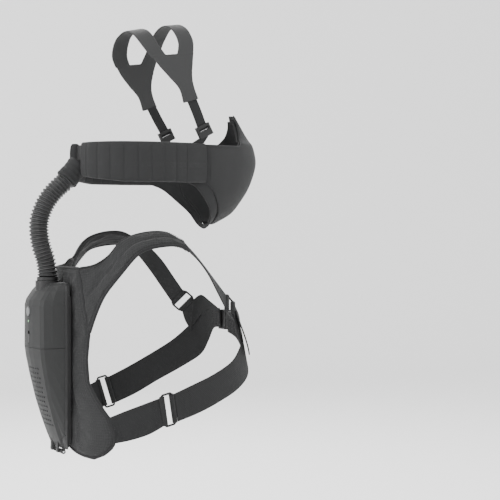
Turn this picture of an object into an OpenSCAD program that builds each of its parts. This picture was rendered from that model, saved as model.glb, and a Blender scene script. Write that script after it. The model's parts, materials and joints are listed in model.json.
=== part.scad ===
// Powered air respirator: back-worn blower, breathing hose, half mask with side
// air ducts, head harness and torso harness. Millimetres, +Z up, +X the way the
// wearer faces, +Y the wearer's left. The modules are drawn with the blower's
// body side at X = 0 and the shoulder line at Z = 0; placed() then moves the
// model so that its origin is the middle of the back pad, on the wearer's side.

/* [Blower] */
// Width of the blower at the wearer's back
blower_w = 80; // [76:1:82]
// Depth of the blower over the fan
blower_d = 45; // [44:1:47]
// Wall of the plastic housings
wall = 2.2; // [1.8:0.1:2.4]
// Level of the joint between upper housing and filter cover
split_z = -160; // [-162:1:-158]
// Radius of the round air outlet collar
collar_r = 16; // [15.5:0.5:16.5]
// Pitch of the grille holes
grille_pitch = 6.4; // [6:0.2:8]

/* [Fan] */
// Radius of the impeller
impeller_r = 21; // [18:1:22]
// Number of impeller blades
blade_count = 12; // [8:1:16]
// Radius of the motor can
motor_r = 10.5; // [9:0.5:10.5]

/* [Hose] */
// Outer radius of the corrugated hose
hose_r = 13.5; // [12.5:0.5:13.5]
// Sides of the plain hose tube
hose_sides = 12; // [8:1:12]

/* [Mask and head] */
// Height of the air ducts
duct_h = 54; // [48:1:56]
// Thickness of the air ducts
duct_t = 14; // [12:1:16]
// Height of the nose peak above the mask's side rim
peak_h = 46; // [40:1:48]
// Wall of the mask shell
mask_wall = 2.6; // [2:0.2:3]
// Radius of the exhalation valve cover
valve_r = 15; // [13:0.5:16]

/* [Torso harness] */
// Thickness of the padded panel and shoulder straps
pad_t = 7; // [5:1:8]
// Width of the side belts
belt_w = 40; // [36:1:42]
// Width of the chest webbing
chest_web_w = 28; // [24:1:30]
// Thickness of plain webbing
web_t = 2; // [1.6:0.2:2.4]
// How far the right side belt hangs below the left one at the chest
belt_drop = 18; // [0:1:20]

/* [Hidden] */
$fn = 48;
// Middle of the pad's body side, which becomes the origin
origin_at = [13, 0, -180];
RIGHT = -1;
LEFT = 1;
fit = 0.05;
gap = 0.4;

// ---- shape helpers ----

function unit(v) = v / max(norm(v), 1e-9);
function on_side(points, side) = [for (p = points) [p[0], side * p[1], p[2]]];

// A point of the smooth curve through a, b, c and d, between b and c
function blend(a, b, c, d, t) =
  (2 * b + (c - a) * t + (2 * a - 5 * b + 4 * c - d) * t * t
    + (3 * b - a - 3 * c + d) * t * t * t) / 2;
function smooth(p, k) = concat(
  [for (i = [0:len(p) - 2]) for (s = [0:k - 1])
    blend(p[max(i - 1, 0)], p[i], p[i + 1], p[min(i + 2, len(p) - 1)], s / k)],
  [p[len(p) - 1]]);

// Closed solid through rings of equal length; an end is closed in strips
module loft(rings) {
  n = len(rings[0]);
  m = len(rings);
  sides = [for (i = [0:m - 2]) for (j = [0:n - 1]) let (k = (j + 1) % n)
    each [[i * n + j, (i + 1) * n + j, i * n + k],
          [i * n + k, (i + 1) * n + j, (i + 1) * n + k]]];
  first = [for (j = [0:n / 2 - 2]) each [[j, j + 1, n - 2 - j], [j, n - 2 - j, n - 1 - j]]];
  last = [for (f = first) [f[2] + (m - 1) * n, f[1] + (m - 1) * n, f[0] + (m - 1) * n]];
  polyhedron(points = [for (r = rings) each r], faces = concat(sides, first, last), convexity = 8);
}

function at(g, i, j) = g[min(max(i, 0), len(g) - 1)][min(max(j, 0), len(g[0]) - 1)];
function normal(g, i, j) =
  unit(cross(at(g, i + 1, j) - at(g, i - 1, j), at(g, i, j + 1) - at(g, i, j - 1)));

// Slab over a grid of points, from under to over along the surface's normal
module slab(g, under, over) {
  n = len(g[0]);
  loft([for (i = [0:len(g) - 1]) concat(
    [for (j = [0:n - 1]) g[i][j] + under * normal(g, i, j)],
    [for (j = [n - 1:-1:0]) g[i][j] + over * normal(g, i, j)])]);
}

// Flat strap between two edge lines
module strap(edge_a, edge_b, t, k = 4) {
  a = smooth(edge_a, k);
  b = smooth(edge_b, k);
  slab([for (i = [0:len(a) - 1]) [a[i], b[i]]], -t / 2, t / 2);
}

// Faceted pieces joined into one skin
module joined() {
  resize([0, 0, 0]) children();
}

// Box from its lowest corner to its highest one
module block(low, high) {
  translate(low) cube(high - low);
}

// Cylinder between two points
module rod(a, b, r) {
  d = b - a;
  translate(a)
    rotate([0, acos(d[2] / norm(d)), atan2(d[1], d[0])])
      cylinder(r = r, h = norm(d));
}

module placed() {
  translate(-origin_at) children();
}

// The blower and everything in it stand this far forward of the drawing's X = 0
blower_x = 3;
module on_blower() {
  translate([blower_x, 0, 0]) children();
}

// ---- blower housing ----

hw = blower_w / 2;
crown = 5;
// Level, depth at the rear centre, half width at the rear, half width at the body side
housing_rows = [
  [-297, 4, 22, 31], [-292, 8, 25, 36], [-278, 14, 28, hw - 1], [-258, 21.5, 30, hw],
  [-230, 30.5, 32.5, hw], [-197, 38.5, 35.5, hw], [-175, 43, 37.5, hw],
  [-160, blower_d, 38.5, hw], [-104, blower_d, 37, hw], [-96, blower_d - 2, 35.5, hw],
  [-84, 34, 34, hw], [-77, 27, 31, hw - 2], [-73.5, 22, 27, hw - 6]
];
// Plan outline of the housing at one level, drawn in by g on every side
function housing_ring(row, g) =
  let (d = row[1] - g, wr = row[2] - g, wb = row[3] - g, c = crown * row[1] / blower_d,
       z = row[0], soft = min(4, d / 3))
  [[-g, wb - 1, z], [-min(4, d / 3) - g, wb, z], [-(d - c) * 0.6, (wb + wr) / 2 + 0.8, z],
   [-(d - c) + soft, wr + 0.5, z], [-(d - c), wr - soft, z], [-(d - c * 0.25), wr * 0.35, z], [-d, 0.6, z],
   [-d, -0.6, z], [-(d - c * 0.25), -wr * 0.35, z], [-(d - c), soft - wr, z],
   [-(d - c) + soft, -wr - 0.5, z], [-(d - c) * 0.6, -(wb + wr) / 2 - 0.8, z],
   [-min(4, d / 3) - g, -wb, z], [-g, 1 - wb, z]];
// The hollow, drawn with g above 0, stops above the thin foot
module housing_form(g = 0) {
  rows = [for (r = housing_rows) if (g == 0 || r[1] > 12)
    [g > 0 && r[0] > -80 ? r[0] - g : r[0], r[1], r[2], r[3]]];
  loft([for (r = rows) housing_ring(r, g)]);
}

shell_x = -7.1;
outlet_x = -18.5;
fan_x = -33;
fan_z = -131;
button_z = -112;
light_z = -125;
latch_z = -148;
socket_z = -140;
hinge_at = [-4, 0, -301];
knuckle_r = 3;
pin_r = 1.2;

module housing_shell() {
  difference() {
    housing_form();
    housing_form(wall);
  }
}

// Hinge knuckle from y0 to y1 with its web, which rises by web_h to the housing
module knuckle(y0, y1, web_x, web_h) {
  translate([hinge_at[0], y0, hinge_at[2]]) rotate([-90, 0, 0]) cylinder(r = knuckle_r, h = y1 - y0);
  block([web_x, y0, hinge_at[2] - 1.5], [web_x + 2, y1, hinge_at[2] + web_h]);
}

module back_shell() {
  color([0.2, 0.2, 0.21]) difference() {
    union() {
      intersection() {
        housing_shell();
        block([shell_x, -60, -310], [5, 60, -60]);
      }
      for (y = [-24, 16]) knuckle(y, y + 8, -3.6, 6.5);
    }
    translate([outlet_x, 0, -120]) cylinder(r = collar_r, h = 60);
    rod([hinge_at[0], -30, hinge_at[2]], [hinge_at[0], 30, hinge_at[2]], pin_r);
    for (y = [-33, 33], z = [-100, -268]) rod([-5, y, z], [1, y, z], 1.6);
  }
}

module upper_housing() {
  color([0.36, 0.37, 0.37]) difference() {
    intersection() {
      housing_shell();
      block([-60, -60, split_z], [shell_x - gap / 2, 60, -60]);
    }
    translate([outlet_x, 0, -120]) cylinder(r = collar_r, h = 60);
    rod([-60, 0, button_z], [-30, 0, button_z], 6.1);
    rod([-60, 0, light_z], [-30, 0, light_z], 1.5);
    block([-60, -3.6, latch_z - 7], [-35, 3.6, latch_z + 10]);
    rod([-14, 30, socket_z], [-14, 50, socket_z], 4.5);
  }
}

grille_rows = 13;
grille_columns = 7;
module filter_cover() {
  color([0.36, 0.37, 0.37]) difference() {
    union() {
      intersection() {
        housing_shell();
        block([-60, -60, -310], [shell_x - gap / 2, 60, split_z - gap]);
      }
      for (y = [-15.6, 8]) {
        knuckle(y, y + 7.6, -9.4, 13);
        block([-9.4, y, hinge_at[2] - 1.5], [-5, y + 7.6, hinge_at[2] + 1.5]);
      }
    }
    for (i = [0:grille_rows - 1]) {
      for (j = [0:grille_columns - 1 - i % 2]) {
        y = (j - (grille_columns - 1 - i % 2) / 2) * grille_pitch;
        z = -188 - i * grille_pitch;
        rod([-60, y, z], [-7 - (z + 290) * 0.2, y, z], 1.5);
      }
    }
    rod([hinge_at[0], -30, hinge_at[2]], [hinge_at[0], 30, hinge_at[2]], pin_r + fit);
  }
}

module hinge_pin() {
  color("silver") rod([hinge_at[0], -24, hinge_at[2]], [hinge_at[0], 24, hinge_at[2]], pin_r);
}

module filter_latch() {
  color([0.08, 0.08, 0.08]) union() {
    block([-44.8, -3.2, latch_z - 6.5], [-42, 3.2, latch_z + 5.5]);
    block([-42, -2.4, latch_z - 5], [-38.5, 2.4, latch_z + 4]);
  }
}

module power_button() {
  color([0.3, 0.3, 0.31]) rod([-46.2, 0, button_z], [-39, 0, button_z], 6);
}

module status_light() {
  color([0.5, 0.8, 0.4]) rod([-45.3, 0, light_z], [-41, 0, light_z], 1.5);
}

module control_board() {
  color([0.1, 0.35, 0.2]) union() {
    block([-8.4, -30, -158], [-6.8, -13, -100]);
    block([-10.4, -27, -120], [-8.4, -17, -110]);
    block([-11.4, -26, -150], [-8.4, -16, -138]);
  }
}

module battery_pack() {
  color([0.15, 0.2, 0.3]) union() {
    block([-15.4, -27, -217], [-6.6, 27, -179]);
    block([-12.5, -8, -179], [-8.5, 8, -174]);
  }
}

volute_back = -13;
module fan_volute() {
  color([0.12, 0.12, 0.12]) difference() {
    union() {
      rod([fan_x - 2, 0, fan_z], [volute_back, 0, fan_z], 26);
      translate([outlet_x - 2, 0, fan_z + 20]) cylinder(r = 11.5, h = 16.8);
    }
    rod([fan_x, 0, fan_z], [volute_back - 1.6, 0, fan_z], 24.2);
    rod([fan_x - 5, 0, fan_z], [fan_x + 1, 0, fan_z], 12);
    rod([volute_back - 3, 0, fan_z], [volute_back + 1, 0, fan_z], motor_r);
    translate([outlet_x - 2, 0, fan_z + 10]) cylinder(r = 10, h = 30);
  }
}

module impeller() {
  color([0.75, 0.75, 0.72]) difference() {
    union() {
      rod([fan_x + 14, 0, fan_z], [fan_x + 15.2, 0, fan_z], impeller_r);
      rod([fan_x + 4, 0, fan_z], [fan_x + 15.2, 0, fan_z], 6);
      translate([fan_x + 2, 0, fan_z]) rotate([0, 90, 0]) for (i = [0:blade_count - 1]) {
        rotate(i * 360 / blade_count)
          translate([impeller_r - 8, 0, 0]) rotate(35) translate([0, -0.5, 0]) cube([8, 1, 12.4]);
      }
    }
    rod([fan_x, 0, fan_z], [fan_x + 20, 0, fan_z], 1.5);
  }
}

module motor() {
  color("silver") difference() {
    rod([volute_back - 1.6, 0, fan_z], [-6.5, 0, fan_z], motor_r);
    rod([volute_back - 2, 0, fan_z], [volute_back + 2.4, 0, fan_z], 4);
    rod([volute_back + 2, 0, fan_z], [volute_back + 4.5, 0, fan_z], 2);
  }
}

module motor_shaft() {
  color("gainsboro") rod([fan_x + 3, 0, fan_z], [volute_back + 4, 0, fan_z], 1.5);
}

module motor_bearing() {
  color("silver") difference() {
    rod([volute_back - 1.4, 0, fan_z], [volute_back + 2.4, 0, fan_z], 4);
    rod([volute_back - 2, 0, fan_z], [volute_back + 3, 0, fan_z], 1.5 + fit);
  }
}

module outlet_collar() {
  color([0.14, 0.14, 0.14]) difference() {
    translate([outlet_x, 0, -94]) cylinder(r = collar_r, h = 23);
    translate([outlet_x, 0, -91]) cylinder(r = 13, h = 30);
    translate([outlet_x - 2, 0, -96]) cylinder(r = 10, h = 10);
    translate([outlet_x, 0, -86]) rotate_extrude() translate([13, 0]) circle(r = 1);
  }
}

module outlet_oring() {
  color([0.1, 0.1, 0.1]) translate([outlet_x, 0, -86]) difference() {
    rotate_extrude() translate([13, 0]) circle(r = 1);
    translate([0, 0, -5]) cylinder(r = 12.6 + fit, h = 10);
  }
}

// Slab behind the slanted grille: depths x0 to x1 and levels z0 to z1 along the slope
module slanted(x0, x1, half_w, z0, z1) {
  lean = 14;
  translate([-37.5, 0, -186]) rotate([0, -lean, 0])
    block([x0, -half_w, z0], [x1, half_w, z1]);
}

module pre_filter() {
  color("white") slanted(4.2, 6, 23.5, -54, -5);
}

filter_pleats = 8;
module particle_filter() {
  color([0.9, 0.9, 0.85]) difference() {
    slanted(6.1, 12.1, 24, -54, -4);
    for (i = [0:filter_pleats - 1]) slanted(8.5, 13, 21, -51 + i * 5.8, -48 + i * 5.8);
  }
}

module filter_seal() {
  color([0.1, 0.1, 0.1]) difference() {
    slanted(12.1, 13.5, 24, -54, -4);
    slanted(11, 15, 21, -51, -7);
  }
}

module charging_socket() {
  color([0.1, 0.1, 0.1]) difference() {
    rod([-14, 28, socket_z], [-14, 40.5, socket_z], 4.5);
    rod([-14, 31, socket_z], [-14, 41, socket_z], 2.8);
  }
}

module housing_screws() {
  color("silver") for (y = [-33, 33], z = [-100, -268]) {
    rod([-5.8, y, z], [0, y, z], 1.6);
  }
}

// ---- hose ----

// Middle line of the hose, from the outlet collar to the elbow sleeve
hose_route = [
  [-15.5, 0, -66], [-15.6, 0, -57], [-18.5, 0, -41], [-24, 0, -24], [-27, 0, -6],
  [-26.5, 0, 10], [-21, 0, 27], [-12, 0, 42], [-1, 0, 54], [8.9, 0, 62.4], [15.1, 0, 69.5]
];
hose_line = smooth(hose_route, 1);
// Both ends of the elbow sleeve's middle line
sleeve_from = [12.5, 0, 66.5];
sleeve_to = [30, 0, 86.5];
sleeve_run = unit(sleeve_to - sleeve_from);

function ring_at(line, i, r, n) =
  let (t = unit(line[min(i + 1, len(line) - 1)] - line[max(i - 1, 0)]), s = [0, 1, 0], u = cross(t, s))
  [for (j = [0:n - 1]) line[i] + r * (cos(360 * j / n) * s + sin(360 * j / n) * u)];

module breathing_hose() {
  color([0.16, 0.16, 0.16])
    loft([for (i = [0:len(hose_line) - 1]) ring_at(hose_line, i, hose_r - 0.2, hose_sides)]);
}

module lower_cuff() {
  color([0.1, 0.1, 0.1]) translate([outlet_x, 0, 0]) difference() {
    union() {
      translate([0, 0, -90]) cylinder(r = 12.6, h = 20);
      translate([0, 0, -70.8]) cylinder(r = 14, h = 4.7);
    }
    translate([0, 0, -91]) cylinder(r = 10.4, h = 40);
  }
}

module upper_cuff() {
  color([0.1, 0.1, 0.1]) difference() {
    rod(sleeve_from + 5 * sleeve_run, sleeve_to, 13.4);
    rod(sleeve_from + 4 * sleeve_run, sleeve_to + 2 * sleeve_run, 10.4);
  }
}

module elbow_sleeve() {
  color([0.22, 0.22, 0.22]) difference() {
    rod(sleeve_from, sleeve_to, 15);
    rod(sleeve_from - 2 * sleeve_run, sleeve_to + 2 * sleeve_run, 13.6);
  }
}

// ---- mask unit ----

duct_top = 116;
duct_mid = duct_top - duct_h / 2;
// Middle line of a duct in plan, from the nape to the mask's side
duct_route = [
  [31, 19, 0], [38, 38, 0], [55, 58, 0], [82, 71, 0], [118, 76, 0], [156, 71, 0], [188, 63, 0]
];
// Cross-section of the duct: thickness across, height up
function duct_ring(line, i, t, h) =
  let (d = unit(line[min(i + 1, len(line) - 1)] - line[max(i - 1, 0)]), s = [d[1], -d[0], 0],
       rise = 8 * max(0, 1 - i / 8))
  [for (a = [15:30:345]) let (c = cos(a), v = sin(a))
    line[i] + [0, 0, duct_mid + rise / 2] + s * t / 2 * sign(c) * pow(abs(c), 0.5)
      + [0, 0, (h - rise) / 2 * sign(v) * pow(abs(v), 0.5)]];
module duct_form(side, t, h, overrun) {
  line = smooth(on_side(duct_route, side), 3);
  n = len(line) - 1;
  ends = [for (i = [0:n]) line[i] + (i == 0 ? unit(line[0] - line[1]) * overrun :
    i == n ? unit(line[n] - line[n - 1]) * overrun : [0, 0, 0])];
  rings = [for (i = [0:n]) duct_ring(ends, i, t, h)];
  loft([for (r = rings) [for (k = [len(r) - 1:-1:0]) r[k]]]);
}

module air_duct(side) {
  color([0.3, 0.3, 0.3]) difference() {
    duct_form(side, duct_t - 3, duct_h - 3, 0);
    duct_form(side, duct_t - 6, duct_h - 6, 4);
  }
}

module duct_sleeve(side) {
  color([0.22, 0.22, 0.22]) difference() {
    duct_form(side, duct_t, duct_h, 0);
    duct_form(side, duct_t - 3, duct_h - 3, 4);
  }
}

module neck_manifold() {
  color([0.2, 0.2, 0.2]) difference() {
    hull() {
      block([32, -17, 74], [46, 17, 113]);
      block([34, -24, 78], [42, 24, 109]);
    }
    block([34, -14.5, 77], [43.5, 14.5, 110]);
    block([35.5, -30, 84], [40.5, 30, 104]);
    duct_form(RIGHT, duct_t + 0.4, duct_h + 0.4, 0);
    duct_form(LEFT, duct_t + 0.4, duct_h + 0.4, 0);
    rod(sleeve_from, sleeve_to + 0.2 * sleeve_run, 15.1);
    rod(sleeve_from, sleeve_to + 6 * sleeve_run, 10.4);
  }
}

// Level, front, side edge, half width of the mask shell
mask_rows = [
  [3, 225, 216, 9], [8, 236, 214, 19], [20, 257, 209, 34], [34, 269, 202, 46],
  [53, 282, 194, 56], [73, 291, 189, 61], [91, 295.5, 188, 63], [105, 294, 188, 63],
  [118, 290, 192, 59], [125, 286, 206, 42], [135, 280, 226, 28], [150, 271, 243, 18],
  [164, 262, 250, 12]
];
function row_value(z, k) = lookup(z, [for (r = mask_rows) [r[0], r[k]]]);
function mask_point(a, z) =
  let (front = row_value(z, 1), edge = row_value(z, 2), w = row_value(z, 3))
  [edge + (front - edge) * cos(a), w * sin(a), z];
function step(x, low, high) =
  let (t = min(max((x - low) / (high - low), 0), 1)) t * t * (3 - 2 * t);
function mask_top(a) = duct_top - 0.5
  + peak_h * (1 - step(abs(a), 36, 54)) - 2 * (1 - step(abs(a), 0, 14));
function mask_foot(a) = 4 + 57.5 * step(abs(a), 62, 90);
mask_columns = [-90, -82, -75, -68, -60, -54, -50, -45, -40, -35, -26, -16, -6,
  6, 16, 26, 35, 40, 45, 50, 54, 60, 68, 75, 82, 90];
mask_steps = 9;
function mask_grid(low, high) = [for (a = mask_columns) [for (i = [0:mask_steps])
  mask_point(a, mask_foot(a) + (mask_top(a) - mask_foot(a)) * (low + (high - low) * i / mask_steps))]];

valve_at = [254.5, 0, 31.6];
valve_tilt = 131;
// Moves its children onto the exhalation valve's axis, which points forward and down
module on_valve() {
  translate(valve_at) rotate([0, valve_tilt, 0]) children();
}

module mask_shell() {
  color([0.24, 0.25, 0.25]) difference() {
    slab(mask_grid(0, 1), -mask_wall, 0);
    on_valve() translate([0, 0, -20]) cylinder(r = valve_r - 2, h = 40);
    on_valve() translate([0, 0, 1]) cylinder(r = valve_r + 0.1, h = 20);
  }
}

module face_seal() {
  g = mask_grid(0, 0.94);
  color([0.1, 0.1, 0.1]) difference() {
    slab([for (k = [1:len(g) - 2]) [for (p = g[k]) p - [mask_wall + 0.8, 0, 0]]],
      -mask_wall - 2.2, -mask_wall - 0.2);
    on_valve() translate([0, 0, -30]) cylinder(r = valve_r + 1, h = 50);
  }
}

// Edge of the soft jaw panel that is sewn into the mask shell's rear edge, and its free lower
// edge along the jaw, one half
jaw_upper = [[191, 56.8, 61], [201, 55.2, 57], [210.5, 49.6, 45], [220.5, 37.2, 27], [222, 20.5, 12],
  [219.5, 8, 5.5]];
jaw_lower = [[162, 65, 60], [180, 59.5, 54.5], [198, 50, 39], [211, 37, 23], [216, 20, 7], [217, 5, 1]];
module jaw_panel() {
  n = len(jaw_upper) - 1;
  upper = concat(on_side(jaw_upper, RIGHT), [for (i = [n:-1:0]) jaw_upper[i]]);
  lower = concat(on_side(jaw_lower, RIGHT), [for (i = [n:-1:0]) jaw_lower[i]]);
  color([0.17, 0.17, 0.17]) strap(upper, lower, 2.4, 2);
}

module valve_seat() {
  color([0.12, 0.12, 0.12]) on_valve() difference() {
    translate([0, 0, -8]) cylinder(r = valve_r - 2, h = 9);
    translate([0, 0, -9]) cylinder(r = valve_r - 5, h = 12);
    translate([0, 0, -1]) cylinder(r = valve_r - 3.5, h = 4);
  }
}

module valve_diaphragm() {
  color([0.35, 0.3, 0.3]) on_valve() union() {
    translate([0, 0, -0.9]) cylinder(r = valve_r - 4, h = 0.8);
    translate([0, 0, -0.9]) cylinder(r = 1.2, h = 1.6);
  }
}

module valve_cover() {
  color([0.1, 0.1, 0.1]) on_valve() difference() {
    translate([0, 0, 1]) cylinder(r = valve_r, h = 5);
    translate([0, 0, 0]) cylinder(r = valve_r - 2, h = 3.6);
    for (a = [0:45:315]) rotate(a) translate([8, 0, 0]) cylinder(r = 1.9, h = 10);
    cylinder(r = 2.4, h = 10);
  }
}

// ---- head harness ----

// Pin that a ladder lock swings on, and how far the lock leans back
tab_pin = [190, 66, 128.5];
lock_lean = 27;
module harness_tab(side) {
  y = side * tab_pin[1];
  color([0.14, 0.14, 0.14]) difference() {
    hull() {
      block([169, y - 1, duct_top], [187, y + 1, duct_top + 2]);
      rod([tab_pin[0], y - 1, tab_pin[2]], [tab_pin[0], y + 1, tab_pin[2]], 4);
    }
    rod([tab_pin[0], y - 5, tab_pin[2]], [tab_pin[0], y + 5, tab_pin[2]], 2.05);
  }
}

// Drawn upright round the pin, then leant back onto it
module on_lock(side) {
  translate([tab_pin[0], side * tab_pin[1], tab_pin[2]]) rotate([0, -lock_lean, 0]) children();
}

module ladder_lock(side) {
  color([0.06, 0.06, 0.06]) on_lock(side) difference() {
    union() {
      rod([0, -2.6, 0], [0, 2.6, 0], 2);
      for (y = [-2.6, 1.4]) block([-10.5, y, -3], [10.5, y + 1.2, 14]);
      for (x = [-10.5, 8.9]) block([x, -1.5, 5.5], [x + 1.6, 1.5, 14]);
    }
    block([-7.6, -5, 6], [7.6, 5, 10]);
  }
}

function lean_at(x, z) = [tab_pin[0] + x * cos(lock_lean) - z * sin(lock_lean),
  tab_pin[2] + z * cos(lock_lean) + x * sin(lock_lean)];
// One edge of the head webbing, from inside the lock up to the crown's leg
function web_line(side, x) = [for (s = [[6.5, 66], [14.5, 66.1], [32, 69.4], [52, 71.5]])
  let (p = lean_at(x, s[0])) [p[0], side * s[1], p[1]]];
module head_webbing(side) {
  color([0.1, 0.1, 0.1]) strap(web_line(side, 7.2), web_line(side, -7.2), 1.4, 3);
}

// Front and rear edge of a side plate, from the webbing up
plate_front = [[176, 73.3, 176], [170, 73.6, 190], [167, 72.6, 206], [169, 70, 224], [172, 66, 240]];
plate_rear = [[153, 73.3, 169], [147, 73.8, 188], [133, 73, 203], [119, 70.5, 218], [109, 67, 232]];
front_band_front = [[171.5, 66.5, 238], [175, 58, 256], [176, 38, 274], [175, 13, 284]];
front_band_rear = [[146, 67, 233], [152, 58, 252], [153, 38, 271], [153, 13, 281]];
rear_band_front = [[134, 68, 229], [124, 59, 247], [120, 38, 267], [119, 13, 275]];
rear_band_rear = [[109, 67, 229], [100, 59, 244], [96, 38, 261], [96, 13, 270]];
module over_head(edge_a, edge_b) {
  n = len(edge_a) - 1;
  strap(concat(on_side(edge_a, RIGHT), [for (i = [n:-1:0]) edge_a[i]]),
    concat(on_side(edge_b, RIGHT), [for (i = [n:-1:0]) edge_b[i]]), 1.6, 3);
}
module crown_harness() {
  color([0.24, 0.25, 0.25]) joined() union() {
    for (side = [RIGHT, LEFT]) strap(on_side(plate_front, side), on_side(plate_rear, side), 1.8, 3);
    over_head(front_band_front, front_band_rear);
    over_head(rear_band_front, rear_band_rear);
  }
}

// ---- torso harness ----

body_mid = 130;
body_back = 124;
body_half = 122;
// Depth of the pad's outer side at a distance y from the spine
function back_x(y) = body_mid - body_back * pow(1 - pow(min(abs(y) / body_half, 1), 2.5), 0.4);

module back_plate() {
  color([0.15, 0.15, 0.15]) difference() {
    block([blower_x, -36, -288], [back_x(0) - 0.02, 36, -92]);
    block([blower_x - 1, -22, -250], [back_x(0) + 1, 22, -130]);
    for (y = [-33, 33], z = [-100, -268]) rod([blower_x - 1, y, z], [9, y, z], 1.6);
  }
}

// Half width and lower edge of the back pad
pad_rows = [[-54, 46], [-60, 47.5], [-80, 52.1], [-110, 59.1], [-140, 66.1], [-150, 64.5], [-175, 61.5],
  [-205, 64.5], [-232, 81], [-252, 94], [-272, 98.5], [-287, 97], [-298, 88], [-303, 74]];
pad_across = 14;
function pad_point(r, j) =
  let (y = r[1] * (2 * j / pad_across - 1), arch = max(0, -232 - r[0]) / 71,
       z = r[0] + 16 * arch * pow(1 - abs(y) / r[1], 2))
  [back_x(y) + 0.01, y, z];
module back_pad() {
  color([0.2, 0.2, 0.2])
    slab([for (r = pad_rows) [for (j = [0:pad_across]) pad_point(r, j)]], 0, pad_t);
}

module hang_loop() {
  color([0.1, 0.1, 0.1]) translate([12, 0, -57.5]) rotate([0, 20, 0]) difference() {
    union() {
      translate([0, 0, 4]) rotate([90, 0, 90]) scale([1.3, 1, 1]) cylinder(r = 14, h = 1.8);
      block([0, -18.2, 0], [1.8, 18.2, 4]);
    }
    translate([-1, 0, 4]) rotate([90, 0, 90]) scale([1.33, 1, 1]) cylinder(r = 11.4, h = 4);
    block([-1, -15.2, -1], [4, 15.2, 4]);
    block([-1, -30, -20], [4, 30, 0]);
  }
}

// Inner and outer edge of a shoulder strap, from the back pad over the shoulder
strap_inner = [[13.8, 46.1, -54], [31, 57, -50], [48, 65, -38], [62, 71, -20], [78, 75, -11],
  [101, 79, -6], [123, 80, -6.5], [142, 80, -15], [150, 79, -20]];
strap_outer = [[20.6, 66.2, -140], [26.5, 76, -113], [35, 86, -88], [52, 97, -62], [74, 102, -36],
  [92, 104, -27], [122, 104, -23], [141, 102.5, -26], [149, 101, -31]];
module shoulder_strap(side) {
  a = smooth(on_side(strap_inner, side), 3);
  b = smooth(on_side(strap_outer, side), 3);
  g = [for (i = [0:len(a) - 1]) [for (j = [0:4]) (a[i] * (4 - j) + b[i] * j) / 4]];
  color([0.2, 0.2, 0.2]) slab(g, -pad_t / 2, pad_t / 2);
}

strap_ring_mid = [219.5, 80.6, -107.6];
strap_ring_r = 1.4;
// Half the distance between the two bars that webbing folds round
strap_ring_half = 7.5;
// Width direction of the chest webbing and its run at the ring
web_across = unit([-0.34, 0.71, -0.62]);
web_run = unit([0.723, -0.2245, -0.6536]);
// Distance from the ring's middle to where flat webbing meets its fold
fold_end = strap_ring_half + strap_ring_r + web_t * 0.6;
// Middle of the chest webbing from the shoulder strap to its ring
web_mid = [[152, 89, -27], [165, 87.5, -38.5], [181, 86, -57], [198, 84.3, -81],
  strap_ring_mid - fold_end * web_run];
// It leaves the shoulder strap flat with its end, and turns to the ring's direction: later on the right
web_start_across = unit(strap_outer[8] - strap_inner[8]);
function web_turn(side) = side == RIGHT ? [0, 0, 0.15, 0.6, 1] : [0, 0.6, 1, 1, 1];
function web_edge(side, s) = on_side([for (i = [0:4]) web_mid[i] + s * chest_web_w / 2 *
  unit(web_start_across * (1 - web_turn(side)[i]) + web_across * web_turn(side)[i])], side);
module front_webbing(side) {
  color([0.12, 0.12, 0.12]) joined() union() {
    strap(web_edge(side, -1), web_edge(side, 1), web_t, 3);
    fold_on(strap_ring_mid - web_run * strap_ring_half, web_across * chest_web_w / 2, strap_ring_r, side);
  }
}

// Rectangular ring of round wire around mid, with bent corners, from its two half-side vectors
ring_bend = 2.5;
module wire_ring(mid, half_w, half_h, r, side) {
  w = norm(half_w) - ring_bend;
  h = norm(half_h) - ring_bend;
  v = on_side([unit(half_w), unit(half_h), mid], side);
  z = unit(cross(v[0], v[1]));
  y = cross(z, v[0]);
  multmatrix([for (i = [0:2]) [v[0][i], y[i], z[i], v[2][i]]]) {
    for (s = [-1, 1]) {
      translate([s * (w + ring_bend), h, 0]) rotate([90, 0, 0]) cylinder(r = r, h = 2 * h);
      translate([-w, s * (h + ring_bend), 0]) rotate([0, 90, 0]) cylinder(r = r, h = 2 * w);
    }
    for (c = [[1, 1, 0], [-1, 1, 90], [-1, -1, 180], [1, -1, 270]]) {
      translate([c[0] * w, c[1] * h, 0]) rotate([0, 0, c[2]])
        rotate_extrude(angle = 90) translate([ring_bend, 0]) circle(r = r);
    }
  }
}

module strap_ring(side) {
  color([0.06, 0.06, 0.06])
    wire_ring(strap_ring_mid, web_across * (chest_web_w / 2 + 2.2), web_run * strap_ring_half,
      strap_ring_r, side);
}

ring_mid = [112.2, 116.8, -240];
ring_down = unit([11.5, -10.3, -48.4]);
ring_ahead = unit([1, 0, 0.238]);
ring_half = 7;
belt_ring_r = 1.4;
module belt_ring(side) {
  color([0.06, 0.06, 0.06])
    wire_ring(ring_mid, ring_down * (belt_w / 2 + 2.4), ring_ahead * ring_half, belt_ring_r, side);
}

// Webbing folded round a bar: a short tube along it
module fold(a, b, r) {
  difference() {
    rod(a, b, r + 0.1 + web_t);
    rod(a - unit(b - a), b + unit(b - a), r + 0.1);
  }
}
module fold_on(mid, half, r, side) {
  c = on_side([mid - half, mid + half], side);
  fold(c[0], c[1], r);
}

// Upper and lower edge of the belt between the pad's wing and the ring
stub_upper = [[36.5, 90.5, -250], [57, 103.5, -240], [80, 112.5, -231], [98.5, 118.5, -224]];
stub_lower = [[45, 96.3, -283], [65, 103.5, -279], [88, 109.5, -272], [107, 113, -262]];
module belt_stub(side) {
  color([0.14, 0.14, 0.14]) joined() union() {
    strap(on_side(stub_upper, side), on_side(stub_lower, side), web_t, 3);
    fold_on(ring_mid - ring_ahead * ring_half, ring_down * belt_w / 2, belt_ring_r, side);
  }
}

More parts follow.
